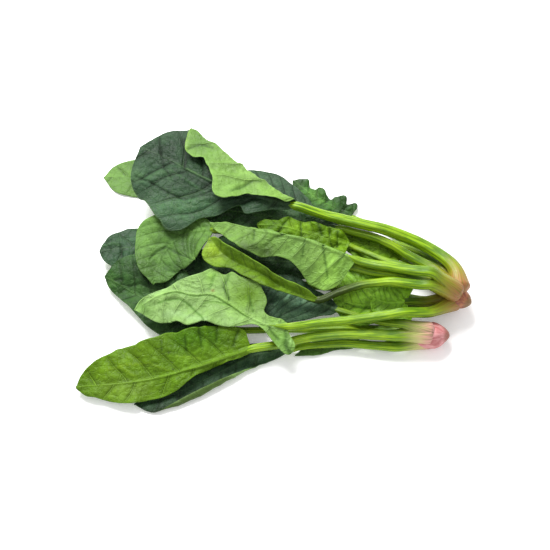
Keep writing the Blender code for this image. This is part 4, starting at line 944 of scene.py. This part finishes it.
def record_stalk(heap, points, radii):
    """Adds a laid stalk to the heap's heights."""
    curve, even, marks = smooth_curve(points, CELL / 2.0)
    radius = np.interp(even, marks, radii)
    side = unit(np.stack([-np.gradient(curve[:, 1]), np.gradient(curve[:, 0])], axis=-1))
    for aside in np.linspace(-1.0, 1.0, GIRTH_SAMPLES):
        spot = curve[:, :2] + side * (aside * radius)[:, None]
        high = curve[:, 2] + radius * math.sqrt(max(1.0 - aside * aside, 0.0))
        heap.add(spot[:, 0], spot[:, 1], high)


LAID = {}


def laid_leaves():
    """Settles every leaf in turn, once. Gives each leaf with its blade's sheet and its stalk's line."""
    if LAID:
        return LAID
    thin = bpy.context.scene.spinach_blades.thickness
    heap = Heap()
    for index, leaf in enumerate(LEAVES):
        spine = Spine(leaf)
        sheet = blade_sheet(leaf, spine, SEED_STEP * index)
        half = settle_blade(leaf, spine, sheet, heap, thin)
        middle = len(sheet.v) // 2
        base, ahead = sheet.place[0, middle], sheet.place[SLOPE_ROW, middle]
        slope = (ahead[2] - base[2]) / np.linalg.norm(ahead[:2] - base[:2])
        line, radii = settle_stalk(leaf, spine, heap, base[2], slope)
        x, y, top = samples(np.dstack([sheet.place[..., :2], sheet.place[..., 2] + half])).T
        heap.add(x, y, top)
        record_stalk(heap, line, radii)
        LAID[leaf.name] = (leaf, sheet, line, radii)
    return LAID


class Tree:
    """Adds shader nodes to a new material, one short call for each."""

    def __init__(self, name):
        self.material = bpy.data.materials.new(name)
        self.material.use_nodes = True
        self.tree = self.material.node_tree
        self.shader = self.tree.nodes["Principled BSDF"]

    def give(self, socket, value):
        """Links a socket to another node's output, or sets its own value."""
        if isinstance(value, bpy.types.NodeSocket):
            self.tree.links.new(value, socket)
        else:
            socket.default_value = value

    def add(self, kind, inputs=(), **settings):
        """A new node with its settings, and its inputs by name or number."""
        node = self.tree.nodes.new(kind)
        for key, value in settings.items():
            setattr(node, key, value)
        for key, value in dict(inputs).items():
            self.give(node.inputs[key], value)
        return node

    def math(self, operation, a, b=0.0):
        """A sum on two numbers."""
        return self.add("ShaderNodeMath", {0: a, 1: b}, operation=operation).outputs[0]

    def times(self, a, b):
        """One number times another."""
        return self.math("MULTIPLY", a, b)

    def plus(self, *terms):
        """The sum of several numbers."""
        total = terms[0]
        for term in terms[1:]:
            total = self.math("ADD", total, term)
        return total

    def sway(self, noise, size):
        """A noise turned into an offset to either side of nothing."""
        return self.times(self.math("SUBTRACT", noise, 0.5), size)

    def attribute(self, name):
        """The three numbers that a piece keeps for each of its points under a name."""
        return self.add("ShaderNodeAttribute", attribute_name=name).outputs["Vector"]

    def parts(self, vector):
        """The three numbers of a vector, one by one."""
        return tuple(self.add("ShaderNodeSeparateXYZ", {0: vector}).outputs)

    def place(self):
        """Where a point is on its own piece."""
        return self.add("ShaderNodeTexCoord").outputs["Object"]

    def rise(self, value, low, high, bottom=0.0, top=1.0):
        """A smooth rise from bottom to top as the value goes from low to high."""
        inputs = {"Value": value, "From Min": low, "From Max": high, "To Min": bottom, "To Max": top}
        return self.add("ShaderNodeMapRange", inputs, interpolation_type="SMOOTHSTEP").outputs["Result"]

    def mix(self, share, a, b, blend="MIX"):
        """One colour over another."""
        node = self.add("ShaderNodeMix", data_type="RGBA", blend_type=blend)
        self.give(node.inputs["Factor"], share)
        self.give(node.inputs[6], a)
        self.give(node.inputs[7], b)
        return node.outputs[2]

    def layered(self, ground, layers):
        """A ground colour with others over it, each given as (how much it covers, colour)."""
        colour = rgba(ground)
        for share, over in layers:
            colour = self.mix(share, colour, rgba(over))
        return colour

    def tinted(self, colour):
        """A colour times the tint that a piece keeps for each of its points: partly its own tone, partly
        painted shade and highlights.
        """
        return self.mix(1.0, colour, self.attribute("tone_map"), "MULTIPLY")

    def noise(self, place, scale, detail=3.0, rough=0.55):
        """Cloudy noise, from about 0 to 1."""
        inputs = {"Vector": place, "Scale": scale, "Detail": detail, "Roughness": rough}
        return self.add("ShaderNodeTexNoise", inputs).outputs["Fac"]

    def net(self, place, scale, wide):
        """A fine net of lines round small cells: 1 on a line and 0 inside a cell."""
        inputs = {"Vector": place, "Scale": scale, "Randomness": 0.85}
        node = self.add("ShaderNodeTexVoronoi", inputs, feature="DISTANCE_TO_EDGE")
        return self.rise(node.outputs["Distance"], 0.0, wide, 1.0, 0.0)

    def finish(self, seen, height, strength, distance, **looks):
        """Gives the shader its looks and a relief. The plain colour is for a view without shading."""
        bump = {"Height": height, "Strength": strength, "Distance": distance}
        looks["Normal"] = self.add("ShaderNodeBump", bump).outputs["Normal"]
        for name, value in looks.items():
            self.give(self.shader.inputs[name.replace("_", " ")], value)
        self.material.diffuse_color = rgba(seen)
        return self.material


def rgba(colour):
    """A colour with full cover."""
    return (*colour[:3], 1.0)


def vein_lines(t, rib, outer):
    """How near a point of a blade is to the rib, a side vein and the finer veins, 1 on each of them."""
    across, phase, along = t.parts(t.attribute("vein_map"))
    flat = t.add("ShaderNodeCombineXYZ", {"X": across, "Y": along}).outputs[0]
    warp = t.noise(flat, 160.0, 2.0)
    warped = t.add("ShaderNodeVectorMath", {0: flat, 1: t.times(warp, 0.004)}).outputs[0]
    from_vein = t.math("ABSOLUTE", t.math("SUBTRACT", t.math("FRACT", t.plus(phase, 0.5)), 0.5))
    from_vein = t.plus(from_vein, t.sway(warp, 0.03))
    fading = t.rise(outer, 0.55, 1.0, 1.0, 0.25)
    return {
        "rib": t.rise(rib, 0.16, 0.42, 1.0, 0.0),
        "near_rib": t.rise(rib, 0.3, 1.6, 1.0, 0.0),
        "vein": t.times(t.rise(from_vein, 0.010, 0.034, 1.0, 0.0), fading),
        "vein_crease_shade": t.times(t.rise(from_vein, 0.02, 0.16, 1.0, 0.0), fading),
        "branches": t.net(warped, 165.0, 0.075),
        "net": t.net(warped, 520.0, 0.12),
    }


def sheet_material(name, look, tissue, vein):
    """Leaf tissue with its rib, side veins and net, painted shade beside the veins and a painted lit rim.
    Veins are raised on a leaf's back, else sunken.
    """
    t = Tree(name)
    rib, outer, u = t.parts(t.attribute("share_map"))
    lines = vein_lines(t, rib, outer)
    place = t.place()
    clouds, patches, grain = (t.noise(place, scale, detail, 0.6)
                              for scale, detail in ((48.0, 5.0), (190.0, 4.0), (900.0, 3.0)))
    deep = tissue * look.deep
    colour = t.layered(tissue, (
        (t.rise(u, 0.02, look.base_reach, 1.0, 0.0), tissue * look.base),
        (t.rise(u, look.tip_start, 1.0), tissue * look.tip),
        (t.rise(clouds, 0.34, 0.62, 0.42, 0.0), deep),
        (t.rise(clouds, 0.50, 0.70, 0.0, 0.30), vein),
        (t.rise(patches, 0.38, 0.60, 0.30, 0.0), deep),
        (t.rise(grain, 0.35, 0.70, 0.0, 0.16), vein),
        (t.times(lines["net"], 0.5 * look.net), vein),
        (t.times(lines["branches"], look.net), vein),
        # Painted shade in the creases beside the side veins.
        (t.times(lines["vein_crease_shade"], look.crease), deep),
        (t.times(lines["vein"], look.vein), vein),
        (t.times(lines["near_rib"], 0.2 * look.rib), vein),
        (t.times(lines["rib"], look.rib), vein),
        # Painted light on the thin margin, as if lit through it.
        (t.rise(outer, 0.965, 0.995, 0.0, look.rim), vein),
    ))
    up = 1.0 if look.back else -1.0
    ridges = t.plus(t.times(lines["vein"], up), t.times(lines["branches"], 0.35 * up),
                    t.times(lines["net"], 0.12 * up), t.times(grain, 0.35), t.times(patches, 1.6))
    return t.finish(tissue, ridges, 0.7, 0.9 * MM, Base_Color=t.tinted(colour),
                    Roughness=t.rise(clouds, 0.3, 0.7, look.rough - 0.06, look.rough + 0.08),
                    Specular_IOR_Level=look.gloss)


def streaked(t, stretch):
    """Places round a stalk or crown, stretched along it, and how far along it each one is."""
    girth = t.attribute("girth_map")
    along = t.parts(girth)[2]
    drawn = {0: girth, 1: (1.0, 1.0, stretch)}
    return t.add("ShaderNodeVectorMath", drawn, operation="MULTIPLY").outputs[0], along


def stalk_material(name, settings, foot, neck, reach):
    """A juicy stalk with fine ribs and streaks, tinted towards its foot on the crown, with painted shade in
    its grooves and deep in the heap.
    """
    t = Tree(name)
    streaky, along = streaked(t, 9.0)
    place = t.place()
    streaks, ribs = t.noise(streaky, 4.5, 3.0), t.noise(streaky, 9.0, 1.0)
    clouds, grain = t.noise(place, 60.0, 3.0), t.noise(place, 700.0, 2.0)
    ragged = t.plus(along, t.sway(streaks, 0.016))
    colour = t.layered(settings.shade, (
        (t.rise(streaks, 0.41, 0.59), settings.flesh),
        (t.rise(clouds, 0.45, 0.75, 0.0, 0.55), settings.light),
        (t.rise(ragged, 0.45 * reach, reach, 1.0, 0.0), neck),
        (t.rise(ragged, 0.1 * reach, 0.62 * reach, 1.0, 0.0), foot),
        # Painted shade in the grooves between the ribs.
        (t.times(t.rise(ribs, 0.35, 0.5, 1.0, 0.0), 0.45), settings.shade),
    ))
    return t.finish(settings.flesh, t.plus(ribs, t.times(grain, 0.15)), 0.4, 0.8 * MM,
                    Base_Color=t.tinted(colour), Roughness=t.rise(grain, 0.3, 0.7, 0.34, 0.48),
                    Specular_IOR_Level=0.25, Coat_Weight=0.02, Coat_Roughness=0.25)


def crown_material(name, skin, deep, scar):
    """Crown skin: streaked towards the root, with a darker, rough cut at its end."""
    t = Tree(name)
    streaky, along = streaked(t, 0.35)
    place = t.place()
    streaks = t.noise(streaky, 4.0, 4.0)
    clouds, grain = t.noise(place, 160.0, 4.0), t.noise(place, 900.0, 3.0)
    colour = t.layered(deep, (
        (t.rise(streaks, 0.38, 0.62), skin),
        (t.rise(clouds, 0.4, 0.75, 0.0, 0.5), deep),
        (t.rise(t.plus(along, t.sway(streaks, 0.8)), 0.45, 0.80), scar),
    ))
    return t.finish(skin, t.plus(streaks, t.times(grain, 0.3)), 0.5, 0.8 * MM,
                    Base_Color=colour, Roughness=t.rise(grain, 0.3, 0.7, 0.38, 0.55))


def colour_setting(name, description, default):
    """A colour that a user can change."""
    return bpy.props.FloatVectorProperty(name=name, description=description, subtype="COLOR", size=3,
                                         min=0.0, max=1.0, default=default)


class BladeSettings(bpy.types.PropertyGroup):
    """Sizes and colours of the blades."""

    thickness: bpy.props.FloatProperty(name="Thickness", description="How thick a blade is between veins",
                                       default=0.7 * MM, min=0.3 * MM, max=2.0 * MM, unit="LENGTH")
    slate: colour_setting("Slate green", "Upper side of the largest leaf", (0.017, 0.050, 0.021))
    bluish: colour_setting("Bluish green", "Upper side of the leaves at the left", (0.018, 0.058, 0.023))
    deep: colour_setting("Deep green", "Upper side of the leaf under the pale one", (0.016, 0.062, 0.009))
    shade: colour_setting("Shaded green", "Upper side of the leaves deep in the heap", (0.012, 0.050, 0.010))
    mid: colour_setting("Middle green", "Upper side of the middle leaves", (0.060, 0.140, 0.022))
    fresh: colour_setting("Fresh green", "Upper side of the young leaves", (0.200, 0.430, 0.018))
    bright: colour_setting("Bright green", "Upper side of the long leaf", (0.084, 0.180, 0.002))
    lime: colour_setting("Lime green", "Upper side of the folded young leaf", (0.090, 0.180, 0.003))
    back_fresh: colour_setting("Fresh back", "Underside of most leaves", (0.140, 0.270, 0.048))
    back_dull: colour_setting("Dull back", "Underside of the leaf at the far side", (0.090, 0.185, 0.035))
    back_pale: colour_setting("Pale back", "Underside of the pale leaf", (0.190, 0.330, 0.092))
    vein_light: colour_setting("Light vein", "Veins on an upper side", (0.300, 0.420, 0.120))
    vein_back: colour_setting("Vein on the back", "Veins on an underside", (0.330, 0.500, 0.120))


class StalkSettings(bpy.types.PropertyGroup):
    """Colours of the stalks."""

    flesh: colour_setting("Flesh", "A stalk's own colour", (0.220, 0.380, 0.004))
    light: colour_setting("Light", "Paler patches", (0.320, 0.480, 0.014))
    # Shade is the darker streaks' own colour, and is also painted as shade in the grooves between the ribs.
    shade: colour_setting("Shade", "Darker streaks", (0.062, 0.150, 0.002))
    russet_foot: colour_setting("Russet foot", "Foot of a stalk on the upper crown", (0.320, 0.135, 0.050))
    russet_neck: colour_setting("Olive neck", "Between a russet foot and the green", (0.260, 0.240, 0.018))
    rose_foot: colour_setting("Rose foot", "The foot of a stalk on the lower crown", (0.640, 0.290, 0.275))
    rose_neck: colour_setting("Cream neck", "Between a rose foot and the green", (0.500, 0.470, 0.180))


class CrownSettings(bpy.types.PropertyGroup):
    """Colours of the crowns."""

    russet: colour_setting("Russet", "Skin of the upper crown", (0.460, 0.170, 0.062))
    russet_deep: colour_setting("Deep russet", "Streaks on the upper crown", (0.200, 0.055, 0.030))
    russet_scar: colour_setting("Russet scar", "The upper crown's cut end", (0.190, 0.100, 0.025))
    rose: colour_setting("Rose", "Skin of the lower crown", (0.640, 0.290, 0.290))
    rose_deep: colour_setting("Deep rose", "Streaks on the lower crown", (0.420, 0.120, 0.120))
    rose_scar: colour_setting("Rose scar", "The lower crown's cut end", (0.260, 0.070, 0.040))


class StageSettings(bpy.types.PropertyGroup):
    """The floor, the light and the camera."""

    floor_colour: colour_setting("Floor", "The pale surface", (0.93, 0.93, 0.93))
    floor_glow: bpy.props.FloatProperty(name="Floor glow", description="How strongly the floor glows",
                                        default=0.18, min=0.0)
    sky: bpy.props.FloatProperty(name="Sky", description="Strength of the even light", default=0.80, min=0.0)
    key: bpy.props.FloatProperty(name="Key", description="Strength of the main soft light", default=15.0,
                                 min=0.0, unit="POWER")
    distance: bpy.props.FloatProperty(name="Distance", description="From the camera to the bunch",
                                      default=0.770, min=0.1, unit="LENGTH")
    elevation: bpy.props.FloatProperty(name="Elevation", description="How steeply the camera looks down",
                                       default=math.radians(60.0), subtype="ANGLE")
    lens: bpy.props.FloatProperty(name="Lens", description="Focal length in millimetres", default=70.0,
                                  min=10.0)


@dataclass
class Look:
    """How one kind of leaf face shows its veins and gloss, and how its colour turns along the leaf."""

    colour: str
    back: bool = False
    base: tuple = (1.3, 1.25, 1.0)
    tip: tuple = (1.0, 1.0, 1.0)
    deep: float = 0.30
    pale_vein: float = 0.16
    base_reach: float = 0.3
    tip_start: float = 0.6
    vein: float = 0.4
    rib: float = 0.5
    # Crease is how strongly painted shade darkens the tissue beside the side veins.
    crease: float = 0.5
    net: float = 0.15
    # Rim is how strongly painted light brightens the thin margin, as if lit through it.
    rim: float = 0.3
    rough: float = 0.50
    gloss: float = 0.20


LOOKS = {
    "blade_slate": Look("slate", base=(1.05, 1.02, 0.85), rough=0.52, vein=0.2, rib=0.3,
                        crease=0.7, net=0.1),
    "blade_bluish": Look("bluish", vein=0.3, rib=0.3),
    "blade_deep": Look("deep", base=(1.1, 1.2, 0.75), vein=0.3, rib=0.3),
    "blade_shade": Look("shade", vein=0.25),
    "blade_mid": Look("mid", vein=0.12, rib=0.1, crease=0.28),
    "blade_fresh": Look("fresh", base=(1.7, 1.65, 1.2), rough=0.40, gloss=0.3),
    "blade_bright": Look("bright", base=(1.3, 1.22, 0.1), rough=0.44, gloss=0.13, vein=0.5),
    "blade_lime": Look("lime", net=0.1),
    "back_fresh": Look("back_fresh", back=True, base=(0.9, 0.9, 0.6), deep=0.45, rib=0.4, vein=0.45),
    "back_plain": Look("back_fresh", back=True, base=(1.0, 1.0, 0.65), deep=0.40, rib=0.05, vein=0.3),
    "back_dull": Look("back_dull", back=True, base=(0.9, 0.9, 0.6), deep=0.45, rib=0.2, vein=0.3),
    "back_pale": Look("back_pale", back=True, base=(0.8, 0.9, 0.4), deep=0.5, vein=0.55),
}


def leaf_material(look_name):
    """The finish of one kind of leaf face, made when it is first asked for."""
    made = bpy.data.materials.get(look_name)
    if made is None:
        look = LOOKS[look_name]
        settings = bpy.context.scene.spinach_blades
        tissue = np.array(getattr(settings, look.colour))
        light = np.array(settings.vein_back if look.back else settings.vein_light)
        made = sheet_material(look_name, look, tissue, VEIN_BRIGHT * tissue + look.pale_vein * light)
    return made


def clear_selection():
    """Leaves nothing selected and no mode but object mode."""
    if bpy.context.mode != "OBJECT":
        bpy.ops.object.mode_set(mode="OBJECT")
    bpy.ops.object.select_all(action="DESELECT")


def finish_piece(piece, slot, *nodes):
    """Puts a finished piece on the root body, and hides the parts of the solid model that it stands for. The
    slot is not used.
    """
    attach(piece, "root")
    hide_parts(*nodes)


def points_of(piece):
    """A piece's points, one in each row."""
    points = np.zeros(len(piece.data.vertices) * 3)
    piece.data.vertices.foreach_get("co", points)
    return points.reshape(-1, 3)


def move_points(piece, points):
    """Moves a piece's points to new places."""
    piece.data.vertices.foreach_set("co", points.ravel())
    piece.data.update()


def rest_on_floor(piece):
    """Raises whatever would dip into the floor."""
    points = points_of(piece)
    points[:, 2] = np.maximum(points[:, 2], LEAST_HEIGHT)
    move_points(piece, points)


def grid_piece(name, place):
    """A grid primitive whose points are moved to the given rows and columns of places."""
    rows, columns = place.shape[0] - 1, place.shape[1] - 1
    clear_selection()
    bpy.ops.mesh.primitive_grid_add(x_subdivisions=columns, y_subdivisions=rows, size=2.0)
    piece = bpy.context.object
    piece.name = name
    piece.data.name = name
    points = points_of(piece)
    row = np.rint((points[:, 1] + 1.0) / 2.0 * rows).astype(int)
    column = np.rint((points[:, 0] + 1.0) / 2.0 * columns).astype(int)
    move_points(piece, place[row, column])
    return piece, row, column


def add_map(piece, name, values):
    """Keeps three numbers for each point of a piece, for its finish to read."""
    layer = piece.data.attributes.new(name, "FLOAT_VECTOR", "POINT")
    layer.data.foreach_set("vector", np.ascontiguousarray(values, float).ravel())


def thicken(piece, weights, thin):
    """Turns a sheet into a thin solid, which is thicker where the rib's weights are higher."""
    group = piece.vertex_groups.new(name="rib")
    for index in np.nonzero(weights > 0.0)[0]:
        group.add([int(index)], float(weights[index]), "REPLACE")
    solid = piece.modifiers.new("thickness", "SOLIDIFY")
    solid.thickness = RIB_THICK
    solid.offset = 0.0
    solid.vertex_group = "rib"
    solid.thickness_vertex_group = thin / RIB_THICK
    solid.material_offset = 1
    bpy.ops.object.modifier_apply(modifier=solid.name)


def tidy_surface(piece, weld=0.0, open_ends=False):
    """Welds points that coincide, closes open ends, and turns the faces outwards."""
    bpy.ops.object.mode_set(mode="EDIT")
    bpy.ops.mesh.select_all(action="SELECT")
    if weld:
        bpy.ops.mesh.remove_doubles(threshold=weld)
    if open_ends:
        bpy.ops.mesh.select_all(action="DESELECT")
        bpy.ops.mesh.select_mode(type="EDGE")
        bpy.ops.mesh.select_non_manifold(extend=False)
        bpy.ops.mesh.fill_holes(sides=0)
        bpy.ops.mesh.select_all(action="SELECT")
    bpy.ops.mesh.normals_make_consistent(inside=False)
    bpy.ops.mesh.select_mode(type="VERT")
    bpy.ops.object.mode_set(mode="OBJECT")
    piece.data.shade_smooth()


def make_blade(leaf, sheet, thin):
    """A blade: its laid sheet, thickened, with the rib thicker than the rest and two different faces."""
    piece, row, column = grid_piece(f"{leaf.name}_leaf", sheet.place)
    share, outer = np.meshgrid(sheet.u, np.abs(sheet.v), indexing="ij")
    add_map(piece, "vein_map", np.dstack([sheet.across, sheet.phase, sheet.along])[row, column])
    add_map(piece, "share_map", np.dstack([sheet.rib, outer, share])[row, column])
    # Its tints: the leaf's own tones, with painted shade and painted highlights.
    add_map(piece, "tone_map", tone_map(leaf, sheet)[row, column])
    faces = [leaf.upper, leaf.under]
    if leaf.face_down:
        faces.reverse()
    for look_name in faces:
        piece.data.materials.append(leaf_material(look_name))
    thicken(piece, rib_profile(sheet)[row, column], thin)
    tidy_surface(piece, WELD_SHEET)
    rest_on_floor(piece)
    finish_piece(piece, leaf.slot, f"{leaf.name}_blade")


def stalk_line(leaf, sheet, line, radii):
    """The stalk's smooth line and radii, run on under the blade, where it thins into the rib."""
    middle = len(sheet.v) // 2
    rib_end = int(leaf.rib_run * (len(sheet.u) - 1))
    steps = np.arange(RIB_RUN_ROWS, rib_end, RIB_RUN_ROWS)
    thinning = [RUN_START * leaf.thick[1], *RUN_RADII]
    radius_in = np.interp(steps / rib_end, RUN_SHARES, thinning) * MM
    inside = sheet.place[steps, middle]
    inside[:, 2] += (1.0 if leaf.face_down else -1.0) * RUN_SINK * radius_in
    curve, even, marks = smooth_curve(np.vstack([line, inside]), STALK_RING_STEP)
    return curve, even, np.interp(even, marks, np.concatenate([radii, radius_in]))


def stalk_rings(leaf, curve, even, radius, turn):
    """Rings round a stalk's line: ribbed, with a shallow channel on the upper side and rounded ends."""
    way = unit(np.gradient(curve, axis=0))
    side = unit(np.cross(way, [0.0, 0.0, 1.0]))
    up = np.cross(side, way)
    seed = sum(ord(letter) for letter in leaf.name)
    channel = -CHANNEL_DEPTH * np.exp(-((turn - math.pi) / CHANNEL_WIDTH) ** 2)
    ribs = RIDGE_HEIGHT * np.sin(RIDGE_COUNT * turn + seed)
    uneven = UNEVEN_GIRTH * patchy(seed, 3.0, even / UNEVEN_STEP)
    surface = (1.0 + channel * smooth_step(even, 0.01, 0.04)[:, None]
               + ribs * smooth_step(even, 0.0, 0.03)[:, None] + uneven[:, None])
    rounding = np.sqrt(np.clip(even / FOOT_ROUNDING, 0.15, 1.0))
    rounding *= np.sqrt(np.clip((even[-1] - even) / FAR_ROUNDING, 0.02, 1.0))
    swell = PLUMP.get(leaf.name, 1.0) + MORE_SWELL[leaf.plant] * np.exp(-(even / MORE_SWELL_REACH) ** 2)
    reach = (radius * rounding * swell)[:, None] * surface
    rings = curve[:, None] + reach[..., None] * (
        np.sin(turn)[:, None] * side[:, None] - np.cos(turn)[:, None] * up[:, None])
    rings[:, -1] = rings[:, 0]
    return rings


def make_stalk(leaf, sheet, line, radii):
    """A stalk: a ribbed tube that is closed at both ends, with painted shade where it runs deep in the heap.
    """
    curve, even, radius = stalk_line(leaf, sheet, line, radii)
    turn = np.linspace(0.0, 2.0 * math.pi, STALK_SIDES + 1)
    rings = stalk_rings(leaf, curve, even, radius, turn)
    piece, row, column = grid_piece(f"{leaf.name}_stalk_piece", rings)
    add_map(piece, "girth_map", np.stack([np.cos(turn[column]), np.sin(turn[column]), even[row]], axis=1))
    # Painted shade along the stretches of the stalk that run deep in the heap.
    foot, far = STALK_PAINTED_SHADE.get(leaf.name, (1.0, 1.0))
    tint = foot + (far - foot) * smooth_step(even / even[-1], *PAINTED_SHADE_TURNS)
    add_map(piece, "tone_map", np.repeat(tint[row][:, None], 3, axis=1))
    tidy_surface(piece, WELD_TUBE, open_ends=True)
    rest_on_floor(piece)
    piece.data.materials.append(bpy.data.materials[f"stalk_{leaf.plant}"])
    finish_piece(piece, "stalk_green", f"{leaf.name}_stalk")


def crown_points(plant, along, across, up, seed):
    """Moves the points of a ball to a crown's knob, which tapers to its cut root and is grooved."""
    turn = np.arctan2(up, across)
    pinch = 1.0 - ROOT_PINCH * np.maximum(along, 0.0)
    grooves = 1.0 - GROOVE_DEPTH * np.abs(np.sin(GROOVE_TURNS * turn + 0.6 * along + seed)) ** 4
    lumps = 1.0 + LUMP_HEIGHT * patchy(seed, 3.2 * turn / math.pi, 3.0 * along)
    radius = plant.knob_radius * MM * pinch * grooves * lumps
    x = along * np.where(along > 0.0, 1.0, NECK_STRETCH) * plant.knob_length * MM
    y = across * radius
    spin = math.radians(plant.root_turn)
    middle = np.array(plant.middle) * MM - np.array([*HEAP_CENTRE, 0.0])
    return np.stack([middle[0] + x * math.cos(spin) - y * math.sin(spin),
                     middle[1] + x * math.sin(spin) + y * math.cos(spin),
                     np.maximum(middle[2] + up * radius, FLOOR_GAP)], axis=1)


def make_crown(place, kind, seed):
    """The crown of one plant, named for where it lies, and coloured for the kind of its skin."""
    settings = bpy.context.scene.spinach_crowns
    colours = [getattr(settings, kind + part) for part in ("", "_deep", "_scar")]
    clear_selection()
    bpy.ops.mesh.primitive_uv_sphere_add(segments=BALL_SEGMENTS, ring_count=BALL_RINGS, radius=1.0)
    piece = bpy.context.object
    piece.name = f"{place}_crown_piece"
    along, across, up = np.roll(points_of(piece), 1, axis=1).T
    move_points(piece, crown_points(PLANTS[place], along, across, up, seed))
    add_map(piece, "girth_map", np.stack([across, up, along], axis=1))
    tidy_surface(piece)
    piece.data.materials.append(crown_material(f"crown_{place}", *colours))
    finish_piece(piece, f"crown_{kind}", f"{place}_crown")


class SPINACH_OT_blades(bpy.types.Operator):
    """Builds the blades of all the leaves, laid on each other"""

    bl_idname = "spinach.blades"
    bl_label = "Blades"

    def execute(self, context):
        for leaf, sheet, _, _ in laid_leaves().values():
            make_blade(leaf, sheet, context.scene.spinach_blades.thickness)
        return {"FINISHED"}


class SPINACH_OT_stalks(bpy.types.Operator):
    """Builds the stalk of every leaf, from its crown to the rib of its blade"""

    bl_idname = "spinach.stalks"
    bl_label = "Stalks"

    def execute(self, context):
        settings = context.scene.spinach_stalks
        for plant, foot, neck in (("upper", settings.russet_foot, settings.russet_neck),
                                  ("lower", settings.rose_foot, settings.rose_neck)):
            stalk_material(f"stalk_{plant}", settings, foot, neck, FOOT_COLOUR_REACH[plant])
        for leaf, sheet, line, radii in laid_leaves().values():
            make_stalk(leaf, sheet, line, radii)
        return {"FINISHED"}


class SPINACH_OT_upper_crown(bpy.types.Operator):
    """Builds the russet crown of the upper plant"""

    bl_idname = "spinach.upper_crown"
    bl_label = "Upper crown"

    def execute(self, context):
        make_crown("upper", "russet", 3)
        return {"FINISHED"}


class SPINACH_OT_lower_crown(bpy.types.Operator):
    """Builds the rose crown of the lower plant"""

    bl_idname = "spinach.lower_crown"
    bl_label = "Lower crown"

    def execute(self, context):
        make_crown("lower", "rose", 8)
        return {"FINISHED"}


def add_floor(settings):
    """The plain pale floor, which glows faintly."""
    clear_selection()
    bpy.ops.mesh.primitive_plane_add(size=FLOOR_SIZE)
    floor = bpy.context.object
    floor.name = "floor"
    t = Tree("pale_floor")
    for name in ("Base Color", "Emission Color"):
        t.give(t.shader.inputs[name], rgba(settings.floor_colour))
    t.give(t.shader.inputs["Roughness"], 0.9)
    t.give(t.shader.inputs["Emission Strength"], settings.floor_glow)
    floor.data.materials.append(t.material)


def add_light(settings):
    """An even sky and one large, soft light."""
    world = bpy.data.worlds.new("soft_sky")
    world.use_nodes = True
    sky = world.node_tree.nodes["Background"]
    sky.inputs["Color"].default_value = (1.0, 1.0, 1.0, 1.0)
    sky.inputs["Strength"].default_value = settings.sky
    bpy.context.scene.world = world
    bpy.ops.object.light_add(type="AREA", location=KEY_PLACE)
    key = bpy.context.object
    key.name = "key_light"
    key.data.energy = settings.key
    key.data.shape = "DISK"
    key.data.size = KEY_SIZE
    x, y, z = -unit(np.array(KEY_PLACE))
    key.rotation_euler = (math.acos(-z), 0.0, math.atan2(-x, y))


def add_camera(settings):
    """The camera, which looks down on the heap from in front of it."""
    target = np.array([-HEAP_CENTRE[0], -HEAP_CENTRE[1], AIM_HEIGHT])
    back = np.array([0.0, -math.cos(settings.elevation), math.sin(settings.elevation)])
    bpy.ops.object.camera_add(location=tuple(target + settings.distance * back))
    camera = bpy.context.object
    camera.name = "camera"
    camera.data.lens = settings.lens
    camera.data.sensor_width = SENSOR_WIDTH
    camera.rotation_euler = (math.pi / 2.0 - settings.elevation, 0.0, 0.0)
    bpy.context.scene.camera = camera


class SPINACH_OT_stage(bpy.types.Operator):
    """Builds the pale floor, the soft light and the camera"""

    bl_idname = "spinach.stage"
    bl_label = "Stage"

    def execute(self, context):
        settings = context.scene.spinach_stage
        add_floor(settings)
        add_light(settings)
        add_camera(settings)
        context.scene.view_settings.view_transform = "Standard"
        return {"FINISHED"}


class SPINACH_PT_panel(bpy.types.Panel):
    """Lists the steps and settings of the bunch"""

    bl_idname = "SPINACH_PT_panel"
    bl_label = "Spinach Bunch"
    bl_space_type = "VIEW_3D"
    bl_region_type = "UI"
    bl_category = "Spinach"

    def draw(self, context):
        for step in STEPS:
            self.layout.operator(f"spinach.{step}")
        for group in GROUPS:
            settings = getattr(context.scene, group)
            for key in settings.bl_rna.properties.keys():
                if key not in ("rna_type", "name"):
                    self.layout.prop(settings, key)


STEPS = ("blades", "stalks", "upper_crown", "lower_crown", "stage")
GROUPS = {
    "spinach_blades": BladeSettings,
    "spinach_stalks": StalkSettings,
    "spinach_crowns": CrownSettings,
    "spinach_stage": StageSettings,
}
CLASSES = (*GROUPS.values(), SPINACH_OT_blades, SPINACH_OT_stalks, SPINACH_OT_upper_crown,
           SPINACH_OT_lower_crown, SPINACH_OT_stage, SPINACH_PT_panel)


def register():
    """Makes the settings, the steps and the panel known."""
    for kind in CLASSES:
        bpy.utils.register_class(kind)
    for name, kind in GROUPS.items():
        setattr(bpy.types.Scene, name, bpy.props.PointerProperty(type=kind))


def unregister():
    """Takes them away again."""
    for name in GROUPS:
        delattr(bpy.types.Scene, name)
    for kind in reversed(CLASSES):
        bpy.utils.unregister_class(kind)


def main():
    """Builds the whole bunch."""
    register()
    for step in STEPS:
        getattr(bpy.ops.spinach, step)()


if __name__ == "__main__":
    main()
